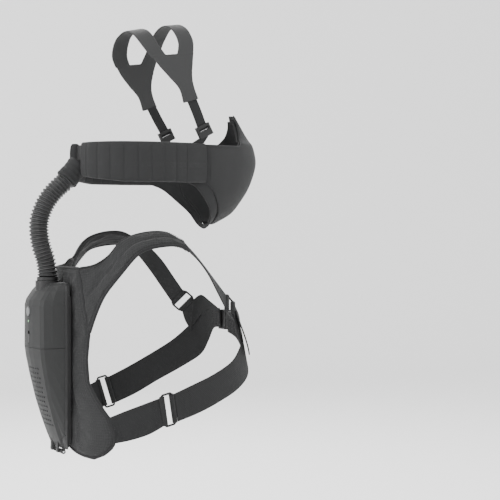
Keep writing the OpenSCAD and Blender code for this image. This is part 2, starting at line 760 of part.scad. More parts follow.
// Edges of the side belt from the ring to the buckle
function belt_shift(side, k) = [0, 0, side * belt_drop / 2 * k];
belt_rise = [0, 0.15, 0.5, 0.8, 0.95, 0.95, 0.6, 0.3];
belt_upper = [[118, 120.8, -219], [148, 119, -206.5], [180, 113, -192], [212, 103, -174],
  [232, 88, -154], [241, 74, -140], [246.6, 46, -124], [247.6, 12, -118]];
belt_lower = [[127, 113.9, -257], [158, 113, -246], [190, 107, -231], [224, 95, -214],
  [248, 78, -196], [253, 62, -175], [251.2, 40, -152], [249.6, 12, -146]];
function belt_edge(points, side) = [for (i = [0:len(points) - 1])
  [points[i][0], side * points[i][1], points[i][2]] + belt_shift(side, belt_rise[i])];
function panel_shift(side) = [for (k = [0.2, 0.9, 0.7, 0.3]) belt_shift(side, k)];
// Piece of webbing from the chest ring down to the belt
function tie_start(s) = strap_ring_mid + fold_end * web_run + s * chest_web_w / 2 * web_across;
tie_inner = [tie_start(-1), [240, 66, -118], [244, 62, -131]];
tie_outer = [tie_start(1), [227, 89, -140], [234, 87, -156]];
// Panel that fills the corner between that webbing and the belt's end
panel_top = [[231, 69, -108], [238, 56, -106], [244, 38, -113], [247.4, 13, -120]];
panel_foot = [[234, 86, -156], [241, 73, -142], [246.6, 45, -126], [247.8, 13, -125]];
module side_belt(side) {
  color([0.14, 0.14, 0.14]) joined() union() {
    strap(belt_edge(belt_upper, side), belt_edge(belt_lower, side), web_t, 3);
    strap(on_side(tie_inner, side) + [[0, 0, 0], [0, 0, side * 3], [0, 0, side * 6]],
      on_side(tie_outer, side) + [[0, 0, 0], [0, 0, side * 3], [0, 0, side * 6]], web_t, 2);
    strap(on_side(panel_top, side) + panel_shift(side),
      on_side(panel_foot, side) + panel_shift(side), web_t, 2);
    fold_on(ring_mid + ring_ahead * ring_half, ring_down * belt_w / 2, belt_ring_r, side);
    fold_on(strap_ring_mid + web_run * strap_ring_half, web_across * chest_web_w / 2, strap_ring_r, side);
  }
}

// The buckle stands in front of the belts' ends
buckle_x = 251.3;
module buckle_socket() {
  color([0.06, 0.06, 0.06]) difference() {
    block([buckle_x, 0, -146], [buckle_x + 9, 24, -118]);
    block([buckle_x + 2.2, -1, -142], [buckle_x + 6.8, 17, -122]);
  }
}

module buckle_plug() {
  x = buckle_x + 2.8;
  color([0.06, 0.06, 0.06]) union() {
    block([buckle_x + 0.5, -22, -144], [buckle_x + 8.5, -0.3, -120]);
    for (z = [-141, -134, -127]) block([x, -1, z], [x + 3.4, 14, z + 4]);
  }
}

// ---- the part ----

placed() on_blower() back_shell();
placed() on_blower() upper_housing();
placed() on_blower() filter_cover();
placed() on_blower() hinge_pin();
placed() on_blower() filter_latch();
placed() on_blower() power_button();
placed() on_blower() status_light();
placed() on_blower() control_board();
placed() on_blower() battery_pack();
placed() on_blower() fan_volute();
placed() on_blower() impeller();
placed() on_blower() motor();
placed() on_blower() motor_shaft();
placed() on_blower() motor_bearing();
placed() on_blower() outlet_collar();
placed() on_blower() outlet_oring();
placed() on_blower() pre_filter();
placed() on_blower() particle_filter();
placed() on_blower() filter_seal();
placed() on_blower() charging_socket();
placed() on_blower() housing_screws();
placed() on_blower() lower_cuff();
placed() breathing_hose();
placed() upper_cuff();
placed() elbow_sleeve();
placed() neck_manifold();
placed() air_duct(RIGHT);  // air_duct_right
placed() air_duct(LEFT);  // air_duct_left
placed() duct_sleeve(RIGHT);  // duct_sleeve_right
placed() duct_sleeve(LEFT);  // duct_sleeve_left
placed() mask_shell();
placed() face_seal();
placed() jaw_panel();
placed() valve_seat();
placed() valve_diaphragm();
placed() valve_cover();
placed() harness_tab(RIGHT);  // harness_tab_right
placed() harness_tab(LEFT);  // harness_tab_left
placed() ladder_lock(RIGHT);  // ladder_lock_right
placed() ladder_lock(LEFT);  // ladder_lock_left
placed() head_webbing(RIGHT);  // head_webbing_right
placed() head_webbing(LEFT);  // head_webbing_left
placed() crown_harness();
placed() back_plate();
placed() back_pad();
placed() hang_loop();
placed() shoulder_strap(RIGHT);  // shoulder_strap_right
placed() shoulder_strap(LEFT);  // shoulder_strap_left
placed() front_webbing(RIGHT);  // front_webbing_right
placed() front_webbing(LEFT);  // front_webbing_left
placed() strap_ring(RIGHT);  // strap_ring_right
placed() strap_ring(LEFT);  // strap_ring_left
placed() side_belt(RIGHT);  // side_belt_right
placed() side_belt(LEFT);  // side_belt_left
placed() belt_stub(RIGHT);  // belt_stub_right
placed() belt_stub(LEFT);  // belt_stub_left
placed() belt_ring(RIGHT);  // belt_ring_right
placed() belt_ring(LEFT);  // belt_ring_left
placed() buckle_socket();
placed() buckle_plug();
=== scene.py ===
import json
import math
import bmesh
import bpy
import numpy as np
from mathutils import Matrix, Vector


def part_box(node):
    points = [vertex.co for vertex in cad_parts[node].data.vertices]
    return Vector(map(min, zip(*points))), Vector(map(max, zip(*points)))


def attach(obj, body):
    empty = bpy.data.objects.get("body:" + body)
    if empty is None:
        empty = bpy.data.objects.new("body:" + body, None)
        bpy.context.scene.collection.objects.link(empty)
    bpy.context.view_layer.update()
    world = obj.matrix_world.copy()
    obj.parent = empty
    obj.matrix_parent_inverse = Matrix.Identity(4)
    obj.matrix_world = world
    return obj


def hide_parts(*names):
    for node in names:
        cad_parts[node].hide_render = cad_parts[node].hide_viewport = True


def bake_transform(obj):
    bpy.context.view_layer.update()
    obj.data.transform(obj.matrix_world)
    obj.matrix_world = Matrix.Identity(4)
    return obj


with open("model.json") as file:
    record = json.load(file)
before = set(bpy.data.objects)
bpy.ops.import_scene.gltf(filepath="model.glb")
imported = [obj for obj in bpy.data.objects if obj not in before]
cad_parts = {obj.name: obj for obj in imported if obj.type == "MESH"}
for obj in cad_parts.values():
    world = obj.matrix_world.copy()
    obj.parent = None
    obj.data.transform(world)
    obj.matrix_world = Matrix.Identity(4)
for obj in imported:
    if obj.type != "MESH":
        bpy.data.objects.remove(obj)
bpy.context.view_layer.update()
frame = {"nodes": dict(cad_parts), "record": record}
RIGHT, LEFT = -1, 1
SIDE_NAMES = {RIGHT: "right", LEFT: "left"}

# Shapes are drawn in millimetres with the shoulder line at Z = 0; the row frame is in metres
# from the middle of the back pad.
PAD_MIDDLE = np.array([13.0, 0.0, -180.0])


def metres(points):
    return (np.asarray(points, float) - PAD_MIDDLE) / 1000


# ---- camera ----

LENS = 100.3
CAMERA_PLACE = (-0.6225, -1.808, 0.180)
CAMERA_YAW = math.radians(-26.47)
CAMERA_DIP = math.radians(0.905)


def add_camera():
    data = bpy.data.cameras.new("camera")
    data.lens = LENS
    data.dof.use_dof = False
    cam = bpy.data.objects.new("camera", data)
    bpy.context.scene.collection.objects.link(cam)
    cam.location = CAMERA_PLACE
    cam.rotation_euler = (math.pi / 2 - CAMERA_DIP, 0, CAMERA_YAW)
    bpy.context.scene.camera = cam


add_camera()


# ---- numbers on curves and surfaces ----

def smooth(points, k):
    """Catmull-Rom curve through the points, k steps to each span."""
    p = np.asarray(points, float)
    out = []
    for i in range(len(p) - 1):
        a, b, c, d = p[max(i - 1, 0)], p[i], p[i + 1], p[min(i + 2, len(p) - 1)]
        for s in range(k):
            t = s / k
            out.append((2 * b + (c - a) * t + (2 * a - 5 * b + 4 * c - d) * t * t
                        + (3 * b - a - 3 * c + d) * t ** 3) / 2)
    out.append(p[-1])
    return np.array(out)


def lengths(line):
    return np.concatenate([[0], np.cumsum(np.linalg.norm(np.diff(line, axis=0), axis=1))])


def resample(line, s):
    """Points of a line at shares s of its length."""
    d = lengths(line)
    return np.stack([np.interp(np.asarray(s) * d[-1], d, line[:, k]) for k in range(line.shape[1])], -1)


def on_side(points, side):
    p = np.array(points, float)
    p[..., 1] *= side
    return p


def unit(v):
    v = np.asarray(v, float)
    return v / np.maximum(np.linalg.norm(v, axis=-1, keepdims=True), 1e-9)


def normals(g):
    n = np.cross(np.gradient(g, axis=0), np.gradient(g, axis=1))
    return unit(n)


def step(x, low, high):
    t = np.clip((x - low) / (high - low), 0, 1)
    return t * t * (3 - 2 * t)


def rounded(length, edge, n):
    """Shares of a length and the share of full thickness there, with a rounded edge at each end."""
    turn = [0, 12, 28, 48, 70, 90]
    low = [(edge * (1 - math.cos(math.radians(a))), math.sin(math.radians(a))) for a in turn]
    high = [(length - x, h) for x, h in reversed(low)]
    inner = [(x, 1) for x in np.linspace(low[-1][0], high[0][0], n + 2)[1:-1]]
    both = np.array(low + inner + high)
    return both[:, 0] / length, both[:, 1]


# ---- meshes ----

def mesh_object(name, verts, faces, uvs=None):
    """Closed mesh from points in the row frame; uvs are per vertex, in metres."""
    data = bpy.data.meshes.new(name)
    data.from_pydata([tuple(v) for v in verts], [], faces)
    data.update()
    if uvs is not None:
        layer = data.uv_layers.new(name="UVMap")
        loops = np.zeros(len(data.loops), np.int32)
        data.loops.foreach_get("vertex_index", loops)
        layer.data.foreach_set("uv", np.asarray(uvs, np.float32)[loops].ravel())
    bm = bmesh.new()
    bm.from_mesh(data)
    bmesh.ops.recalc_face_normals(bm, faces=bm.faces)
    bm.to_mesh(data)
    bm.free()
    data.polygons.foreach_set("use_smooth", [True] * len(data.polygons))
    obj = bpy.data.objects.new(name, data)
    bpy.context.scene.collection.objects.link(obj)
    return obj


def quads(m, n, wrap=False, flip=False, base=0):
    out = []
    for i in range(m - 1):
        for j in range(n if wrap else n - 1):
            k = (j + 1) % n
            f = (base + i * n + j, base + i * n + k, base + (i + 1) * n + k, base + (i + 1) * n + j)
            out.append(f[::-1] if flip else f)
    return out


def grid_uv(g):
    """Distances along and across a grid, in metres."""
    du = np.linalg.norm(np.diff(g, axis=0), axis=2)
    dv = np.linalg.norm(np.diff(g, axis=1), axis=2)
    u = np.concatenate([np.zeros((1, g.shape[1])), np.cumsum(du, 0)])
    v = np.concatenate([np.zeros((g.shape[0], 1)), np.cumsum(dv, 1)], 1)
    u = u.mean(1, keepdims=True) + np.zeros_like(v)
    return np.stack([u, v], -1) / 1000


def slab(name, g, lo, hi):
    """Closed solid over a grid of points in millimetres; lo and hi are offsets along the normal."""
    m, n = g.shape[:2]
    nrm = normals(g)
    lo = np.broadcast_to(lo, (m, n))
    hi = np.broadcast_to(hi, (m, n))
    top = g + nrm * hi[..., None]
    low = g + nrm * lo[..., None]
    verts = np.concatenate([top.reshape(-1, 3), low.reshape(-1, 3)])
    uv = np.concatenate([grid_uv(g).reshape(-1, 2)] * 2)
    faces = quads(m, n, flip=True) + quads(m, n, base=m * n)
    k = m * n
    ring = ([i * n for i in range(m)] + [(m - 1) * n + j for j in range(1, n)]
            + [i * n + n - 1 for i in range(m - 2, -1, -1)] + [j for j in range(n - 2, 0, -1)])
    for a, b in zip(ring, ring[1:] + ring[:1]):
        faces.append((a, b, b + k, a + k))
    return mesh_object(name, metres(verts), faces, uv)


# Steps to each span of a curve through given points
SPAN_STEPS = 8


def band(name, edge_a, edge_b, t, across=9, ripple=0.0):
    """Flat band of webbing between two edge lines, with rounded edges."""
    a, b = smooth(edge_a, SPAN_STEPS), smooth(edge_b, SPAN_STEPS)
    length = lengths((a + b) / 2)[-1]
    width = float(np.linalg.norm(a - b, axis=1).mean())
    su, hu = rounded(length, t / 2, int(length / 3))
    sv, hv = rounded(width, t / 2, across)
    a, b = resample(a, su), resample(b, su)
    g = a[:, None] * (1 - sv[None, :, None]) + b[:, None] * sv[None, :, None]
    h = t / 2 * hu[:, None] * hv[None, :]
    if ripple:
        wave = ripple * np.sin(su * length / 17 + 1.3)[:, None] * np.sin(np.pi * sv)[None, :]
        g = g + normals(g) * wave[..., None]
    return slab(name, g, -h, h)


def tube(name, line, radius, sides=12, closed=False):
    """Round tube along a line in millimetres; radius is one number or one per point."""
    line = np.asarray(line, float)
    n = len(line)
    if closed:
        tangent = unit(np.roll(line, -1, 0) - np.roll(line, 1, 0))
    else:
        tangent = unit(np.gradient(line, axis=0))
    ref = np.array([0.0, 1.0, 0.0])
    if abs(tangent @ ref).max() > 0.95:
        ref = np.array([0.0, 0.0, 1.0]) if abs(tangent[:, 2]).max() < 0.95 else np.array([1.0, 0.0, 0.0])
    side = np.zeros_like(line)
    side[0] = unit(ref - tangent[0] * (ref @ tangent[0]))
    for i in range(1, n):
        side[i] = unit(side[i - 1] - tangent[i] * (side[i - 1] @ tangent[i]))
    up = np.cross(tangent, side)
    r = np.broadcast_to(radius, (n,))
    turn = np.linspace(0, 2 * np.pi, sides, endpoint=False)
    ring = (line[:, None] + r[:, None, None] * (np.cos(turn)[None, :, None] * side[:, None]
                                                + np.sin(turn)[None, :, None] * up[:, None]))
    faces = quads(n, sides, wrap=True)
    last = (n - 1) * sides
    if closed:
        faces += [(last + j, last + (j + 1) % sides, (j + 1) % sides, j) for j in range(sides)]
    else:
        faces += [tuple(range(sides))[::-1], tuple(last + j for j in range(sides))]
    d = lengths(line) / 1000
    uv = [(d[i], turn[j] * r[i] / 1000) for i in range(n) for j in range(sides)]
    return mesh_object(name, metres(ring.reshape(-1, 3)), faces, uv)


THREAD_SIDES = 6
# Share of a stitch's length, and share of its full radius there
STITCH_ENDS = ((0.0, 0.35), (0.2, 1.0), (0.8, 1.0), (1.0, 0.35))


def stitches(name, lines, pitch=3.4, length=2.3, r=0.28):
    """Rows of short threads that follow lines lying on a surface, in millimetres."""
    sides = THREAD_SIDES
    verts, faces = [], []
    turn = np.linspace(0, 2 * np.pi, sides, endpoint=False)
    for line in lines:
        line = np.asarray(line, float)
        total = lengths(line)[-1]
        count = max(int(total / pitch), 1)
        for i in range(count):
            mid = (i + 0.5) / count
            ends = resample(line, [max(mid - length / 2 / total, 0), min(mid + length / 2 / total, 1)])
            d = unit(ends[1] - ends[0])
            s = unit(np.cross(d, [0.31, 0.52, 0.79]))
            u = np.cross(d, s)
            base = len(verts)
            for share, size in STITCH_ENDS:
                c = ends[0] + (ends[1] - ends[0]) * share
                verts += [c + r * size * (math.cos(t) * s + math.sin(t) * u) for t in turn]
            faces += quads(len(STITCH_ENDS), sides, wrap=True, base=base)
            last = base + (len(STITCH_ENDS) - 1) * sides
            faces += [tuple(base + j for j in range(sides))[::-1], tuple(last + j for j in range(sides))]
    return mesh_object(name, metres(np.array(verts)), faces)


def join(name, objs):
    bpy.ops.object.select_all(action="DESELECT")
    for o in objs:
        o.select_set(True)
    bpy.context.view_layer.objects.active = objs[0]
    bpy.ops.object.join()
    out = bpy.context.view_layer.objects.active
    out.name = name
    return out


def apply_modifier(obj, kind, **settings):
    mod = obj.modifiers.new(kind.lower(), kind)
    for key, value in settings.items():
        setattr(mod, key, value)
    bpy.context.view_layer.objects.active = obj
    bpy.ops.object.modifier_apply(modifier=mod.name)
    return obj


# ---- materials ----

class Paint:
    """A node material under construction."""

    def __init__(self, name, rough, **constants):
        self.mat = bpy.data.materials.new(name)
        self.mat.use_nodes = True
        self.tree = self.mat.node_tree
        self.bsdf = self.tree.nodes["Principled BSDF"]
        self.bsdf.inputs["Roughness"].default_value = rough
        for key, value in constants.items():
            self.bsdf.inputs[key.replace("_", " ")].default_value = value

    def node(self, kind, inputs=None, **settings):
        n = self.tree.nodes.new(kind)
        for key, value in settings.items():
            setattr(n, key, value)
        for key, value in (inputs or {}).items():
            if isinstance(value, bpy.types.NodeSocket):
                self.tree.links.new(value, n.inputs[key])
            else:
                n.inputs[key].default_value = value
        return n

    def link(self, a, b):
        self.tree.links.new(a, b)

    def math(self, op, a, b=0.0):
        return self.node("ShaderNodeMath", {0: a, 1: b}, operation=op).outputs[0]

    def place(self, uv=False):
        n = self.node("ShaderNodeTexCoord")
        return n.outputs["UV" if uv else "Object"]

    def noise(self, place, scale, detail=3.0):
        n = self.node("ShaderNodeTexNoise", {"Vector": place, "Scale": scale, "Detail": detail})
        return n.outputs[0]

    def blend(self, *parts):
        """Sum of sockets, each given with its weight."""
        out = None
        for socket, weight in parts:
            part = self.math("MULTIPLY", socket, weight)
            out = part if out is None else self.math("ADD", out, part)
        return out

    def ramp(self, value, low, high):
        n = self.node("ShaderNodeMapRange", {"Value": value, "From Min": low, "From Max": high})
        return n.outputs[0]

    def tones(self, factor, dark, pale):
        n = self.node("ShaderNodeMix", {0: factor, 6: (*dark, 1), 7: (*pale, 1)}, data_type="RGBA")
        return n.outputs[2]

    def colour(self, socket):
        self.link(socket, self.bsdf.inputs["Base Color"])

    def rough(self, value, low, high):
        n = self.node("ShaderNodeMapRange", {"Value": value, "To Min": low, "To Max": high})
        self.link(n.outputs[0], self.bsdf.inputs["Roughness"])

    def bump(self, height, distance, strength=0.6, normal=None):
        inputs = {"Height": height, "Distance": distance, "Strength": strength}
        if normal is not None:
            inputs["Normal"] = normal
        n = self.node("ShaderNodeBump", inputs)
        self.link(n.outputs[0], self.bsdf.inputs["Normal"])


def scaled(rgb, k):
    return tuple(min(c * k, 1) for c in rgb)


def cloth_material(name, rgb, pitch, pitch_across=None, depth=0.0002, sheen=0.04, rib=False):
    """Woven cloth from UVs in metres. rib draws the long ribs of webbing."""
    p = Paint(name, 0.86, Sheen_Weight=sheen, Sheen_Roughness=0.5, Specular_IOR_Level=0.25)
    xyz = p.node("ShaderNodeSeparateXYZ", {0: p.place(uv=True)})
    u, v = xyz.outputs[0], xyz.outputs[1]
    along = p.math("MULTIPLY", u, 2 * math.pi / (pitch_across or pitch))
    across = p.math("MULTIPLY", v, 2 * math.pi / pitch)
    if rib:
        row = p.math("ABSOLUTE", p.math("SINE", p.math("MULTIPLY", across, 0.5)))
        lean = p.math("SINE", p.math("ADD", along, p.math("MULTIPLY", p.math("FLOOR", p.math(
            "MULTIPLY", v, 1 / pitch)), math.pi)))
        weave = p.math("MULTIPLY", row, p.math("ADD", p.math("MULTIPLY", lean, 0.35), 0.65))
    else:
        weave = p.math("ADD", p.math("MULTIPLY", p.math("MULTIPLY", p.math("SINE", along),
                                                        p.math("SINE", across)), 0.5), 0.5)
    place = p.place()
    fuzz = p.noise(place, 900, 4)
    wear = p.noise(place, 22, 5)
    mixed = p.blend((weave, 0.55), (fuzz, 0.25), (wear, 0.35))
    p.colour(p.tones(p.ramp(mixed, 0.1, 1.05), scaled(rgb, 0.62), scaled(rgb, 1.45)))
    p.rough(wear, 0.78, 0.95)
    p.bump(p.math("ADD", weave, p.math("MULTIPLY", fuzz, 0.3)), depth)
    return p.mat


def mesh_material(name, rgb, cell=0.0034, depth=0.0005):
    """Knitted spacer mesh: small open cells in rows."""
    p = Paint(name, 0.9, Sheen_Weight=0.04, Sheen_Roughness=0.55, Specular_IOR_Level=0.2)
    uv = p.place(uv=True)
    cells = p.node("ShaderNodeTexVoronoi", {"Vector": uv, "Scale": 1 / cell, "Randomness": 0.12})
    hole = p.ramp(cells.outputs["Distance"], 0.12, 0.42)
    place = p.place()
    fuzz = p.noise(place, 1100, 3)
    wear = p.noise(place, 18, 5)
    mixed = p.blend((hole, 0.5), (fuzz, 0.2), (wear, 0.4))
    p.colour(p.tones(p.ramp(mixed, 0.05, 1.0), scaled(rgb, 0.5), scaled(rgb, 1.4)))
    p.rough(wear, 0.82, 0.96)
    p.bump(p.math("ADD", hole, p.math("MULTIPLY", fuzz, 0.25)), depth)
    return p.mat


def plastic_material(name, rgb, rough, grain=1500.0, depth=0.00008, worn=1.6, round_edge=0.0007):
    """Moulded plastic: fine spark texture, slight gloss changes and paler, rounded edges."""
    p = Paint(name, rough, Specular_IOR_Level=0.28)
    place = p.place()
    spark = p.noise(place, grain, 2)
    cloud = p.noise(place, 35, 5)
    bevel = p.node("ShaderNodeBevel", {"Radius": round_edge}, samples=6)
    face = p.node("ShaderNodeNewGeometry").outputs["Normal"]
    turn = p.node("ShaderNodeVectorMath", {0: bevel.outputs[0], 1: face}, operation="DOT_PRODUCT")
    edge = p.ramp(p.math("SUBTRACT", 1.0, turn.outputs["Value"]), 0.02, 0.22)
    scuff = p.math("MULTIPLY", edge, p.ramp(p.noise(place, 160, 4), 0.42, 0.62))
    mottle = p.ramp(p.blend((spark, 0.4), (cloud, 0.6)), 0.3, 0.7)
    base = p.tones(mottle, scaled(rgb, 0.86), scaled(rgb, 1.14))
    worn_colour = (*scaled(rgb, worn), 1)
    mix = p.node("ShaderNodeMix", {0: p.math("MULTIPLY", scuff, 0.6), 6: base, 7: worn_colour},
                 data_type="RGBA")
    p.colour(mix.outputs[2])
    p.rough(p.blend((cloud, 0.7), (spark, 0.3)), rough - 0.08, rough + 0.1)
    p.bump(spark, depth, 0.5, bevel.outputs[0])
    return p.mat


def rubber_material(name, rgb, rough=0.55, grain=2200.0):
    p = Paint(name, rough, Specular_IOR_Level=0.4)
    place = p.place()
    fine, cloud = p.noise(place, grain, 2), p.noise(place, 28, 6)
    mottle = p.ramp(p.blend((fine, 0.3), (cloud, 0.7)), 0.3, 0.7)
    p.colour(p.tones(mottle, scaled(rgb, 0.8), scaled(rgb, 1.25)))
    p.rough(cloud, rough - 0.08, rough + 0.14)
    p.bump(p.math("ADD", fine, p.math("MULTIPLY", cloud, 0.4)), 0.00006, 0.5)
    return p.mat


def metal_material(name, rgb, rough=0.35):
    p = Paint(name, rough, Metallic=1.0)
    place = p.place()
    stretch = p.node("ShaderNodeMapping", {"Vector": place, "Scale": (40, 40, 1800)}).outputs[0]
    lines = p.noise(stretch, 1.0, 4)
    p.colour(p.tones(p.noise(place, 90, 4), scaled(rgb, 0.8), scaled(rgb, 1.1)))
    p.rough(lines, rough - 0.08, rough + 0.12)
    p.bump(lines, 0.00003, 0.5)
    return p.mat


def paper_material(name, rgb):
    p = Paint(name, 0.95, Specular_IOR_Level=0.15)
    place = p.place()
    stretch = p.node("ShaderNodeMapping", {"Vector": place, "Scale": (300, 900, 2200)}).outputs[0]
    fibre = p.noise(stretch, 1.0, 5)
    p.colour(p.tones(fibre, scaled(rgb, 0.8), scaled(rgb, 1.08)))
    p.rough(fibre, 0.85, 1.0)
    p.bump(fibre, 0.00015)
    return p.mat


def board_material(name, rgb):
    p = Paint(name, 0.35, Coat_Weight=0.3)
    place = p.place()
    brick = {"Vector": place, "Scale": 220.0, "Mortar Size": 0.02}
    tracks = p.node("ShaderNodeTexBrick", brick).outputs[1]
    p.colour(p.tones(p.blend((tracks, 0.8), (p.noise(place, 200, 4), 0.3)), rgb, scaled(rgb, 2.2)))
    p.rough(p.noise(place, 60, 3), 0.28, 0.45)
    p.bump(tracks, 0.00005)
    return p.mat


def lens_material(name, rgb):
    p = Paint(name, 0.18, Coat_Weight=0.5)
    place = p.place()
    p.colour(p.tones(p.noise(place, 400, 3), scaled(rgb, 0.8), scaled(rgb, 1.3)))
    p.rough(p.noise(place, 80, 3), 0.12, 0.26)
    p.bump(p.noise(place, 1200, 2), 0.00002, 0.3)
    return p.mat


looks = {
    "grey_housing": plastic_material("grey_housing", (0.0105, 0.0109, 0.0109), 0.64),
    "dark_housing": plastic_material("dark_housing", (0.0115, 0.0117, 0.0119), 0.55),
    "black_plastic": plastic_material("black_plastic", (0.008, 0.008, 0.0083), 0.45),
    "button": plastic_material("button", (0.10, 0.103, 0.105), 0.4, worn=1.3),
    "buckle_plastic": plastic_material("buckle_plastic", (0.0045, 0.0045, 0.0047), 0.5,
                                       grain=900, depth=0.00003),
    "pale_plastic": plastic_material("pale_plastic", (0.52, 0.52, 0.5), 0.45),
    "battery_wrap": plastic_material("battery_wrap", (0.03, 0.05, 0.11), 0.35, grain=500),
    "light_window": lens_material("light_window", (0.12, 0.36, 0.14)),
    "circuit_board": board_material("circuit_board", (0.012, 0.09, 0.04)),
    "steel": metal_material("steel", (0.58, 0.59, 0.6)),
    "rubber": rubber_material("rubber", (0.008, 0.008, 0.008)),
    "hose_rubber": rubber_material("hose_rubber", (0.009, 0.009, 0.0093), 0.38),
    "duct_liner": rubber_material("duct_liner", (0.01, 0.01, 0.0103)),
    "crown_rubber": rubber_material("crown_rubber", (0.0125, 0.0127, 0.013), 0.75, 1500.0),
    "filter_media": paper_material("filter_media", (0.78, 0.77, 0.72)),
    "sleeve_fabric": cloth_material("sleeve_fabric", (0.0105, 0.0107, 0.011), 0.0011),
    "mask_fabric": cloth_material("mask_fabric", (0.0125, 0.0127, 0.013), 0.0010, sheen=0.05),
    "seal_fabric": cloth_material("seal_fabric", (0.010, 0.0102, 0.0105), 0.0013, depth=0.0003),
    "webbing": cloth_material("webbing", (0.0075, 0.0077, 0.008), 0.0019, 0.0024,
                              depth=0.0004, rib=True),
    "pad_fabric": mesh_material("pad_fabric", (0.0135, 0.0137, 0.014)),
}
thread = cloth_material("thread", (0.008, 0.008, 0.0085), 0.0006, sheen=0.04)
tape = cloth_material("binding_tape", (0.008, 0.008, 0.0085), 0.0012, 0.0018, rib=True)


def dress(obj, slot, body=None, nodes=(), material=None):
    """Gives a piece the material of a record slot, or the material given, hides the CAD nodes that it
    stands for and hangs it on the CAD body that it goes with.
    """
    obj.data.materials.clear()
    obj.data.materials.append(material or looks[slot])
    if nodes:
        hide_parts(*nodes)
    if body:
        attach(obj, body)
    return obj


# Edges of the CAD solids that turn by more than this stay sharp
SHARP_ANGLE = math.radians(48)
slot_of = {s["node"]: s["material_slot"] for s in frame["record"]["subparts"]}
for node, obj in frame["nodes"].items():
    obj.data.materials.clear()
    obj.data.materials.append(looks[slot_of[node]])
    obj.data.polygons.foreach_set("use_smooth", [True] * len(obj.data.polygons))
    obj.data.set_sharp_from_angle(angle=SHARP_ANGLE)

# ---- breathing hose ----

HOSE_R = 13.5
RIB_PITCH = 4.7
# Half the height of a rib over its valleys
RIB_RISE = 1.15
hose_route = [
    [-15.5, 0, -66], [-15.6, 0, -57], [-18.5, 0, -41], [-24, 0, -24], [-27, 0, -6],
    [-26.5, 0, 10], [-21, 0, 27], [-12, 0, 42], [-1, 0, 54], [8.9, 0, 62.4], [15.1, 0, 69.5],
]
hose_line = smooth(hose_route, 12)
hose_length = lengths(hose_line)[-1]
ribs = round(hose_length / RIB_PITCH)
hose_shares = np.linspace(0, 1, ribs * 10 + 1)
wave = np.cos(2 * np.pi * hose_shares * ribs)
hose_radius = HOSE_R - RIB_RISE + RIB_RISE * np.sign(-wave) * np.abs(wave) ** 0.7
hose_path = resample(hose_line, hose_shares)
hose = tube("corrugated_hose", hose_path, hose_radius, 56)
dress(hose, "hose_rubber", nodes=["breathing_hose"])
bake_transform(hose)


# ---- elbow sleeve ----

SLEEVE_R = 15.1
sleeve_from, sleeve_to = np.array([12.5, 0, 66.5]), np.array([30, 0, 86.5])
sleeve_shares = np.linspace(-0.06, 1.0, 60)
sleeve_line = sleeve_from + sleeve_shares[:, None] * (sleeve_to - sleeve_from)
sleeve_folds = 0.35 * np.sin(sleeve_shares * 9) + 0.25 * np.sin(sleeve_shares * 23 + 1)
sleeve_hem = 0.9 * np.exp(-((sleeve_shares - 0.02) / 0.07) ** 2)
sleeve_radius = SLEEVE_R + sleeve_folds * step(sleeve_shares, 0.1, 0.4) + sleeve_hem
sleeve_radius[0] -= 1.2
dress(tube("sleeve", sleeve_line, sleeve_radius, 64), "sleeve_fabric", "mask_unit",
      ["elbow_sleeve", "upper_cuff"])


def ring_line(centre, axis, radius, n=64):
    """Circle of points round an axis."""
    axis = unit(axis)
    a = unit(np.cross(axis, [0.0, 1.0, 0.0]))
    b = np.cross(axis, a)
    t = np.linspace(0, 2 * np.pi, n + 1)[:, None]
    return np.asarray(centre) + radius * (np.cos(t) * a + np.sin(t) * b)


sleeve_run = sleeve_to - sleeve_from
sleeve_seams = [ring_line(sleeve_from + sleeve_run * s, sleeve_run, r)
                for s, r in ((0.14, 15.35), (0.19, 15.3))]
dress(stitches("sleeve_stitches", sleeve_seams, 2.8, 1.9, 0.22), "sleeve_fabric", "mask_unit",
      material=thread)

# ---- air ducts ----

DUCT_TOP, DUCT_H, DUCT_T = 116.0, 54.0, 14.0
CREASE_PITCH = 17.5
CREASES = 8
# Distance from the duct's rear end to its first crease
CREASE_START = 12
# How far a crease sinks into the wall, and how far the cloth rises from there between creases
SINK, BULGE = 1.5, 1.9
# Steps to a span of the duct's route, and what its height lacks at the rear end
DUCT_STEPS = 40
REAR_LOSS = 8
duct_route = [[31, 19, 0], [38, 38, 0], [55, 58, 0], [82, 71, 0], [118, 76, 0], [156, 71, 0],
              [188, 63, 0]]


def duct_section(side, share):
    """Middle, sideways direction and height of the duct at shares of its length."""
    line = smooth(on_side(duct_route, side), DUCT_STEPS)
    row = np.arange(len(line)) / DUCT_STEPS * 3
    mid = resample(line, share)
    along = lengths(line)
    height = DUCT_H - REAR_LOSS * np.interp(share, along / along[-1], np.maximum(0, 1 - row / 8))
    d = unit(np.gradient(mid, axis=0))
    return mid, np.stack([d[:, 1], -d[:, 0], 0 * d[:, 0]], 1), height, along[-1]


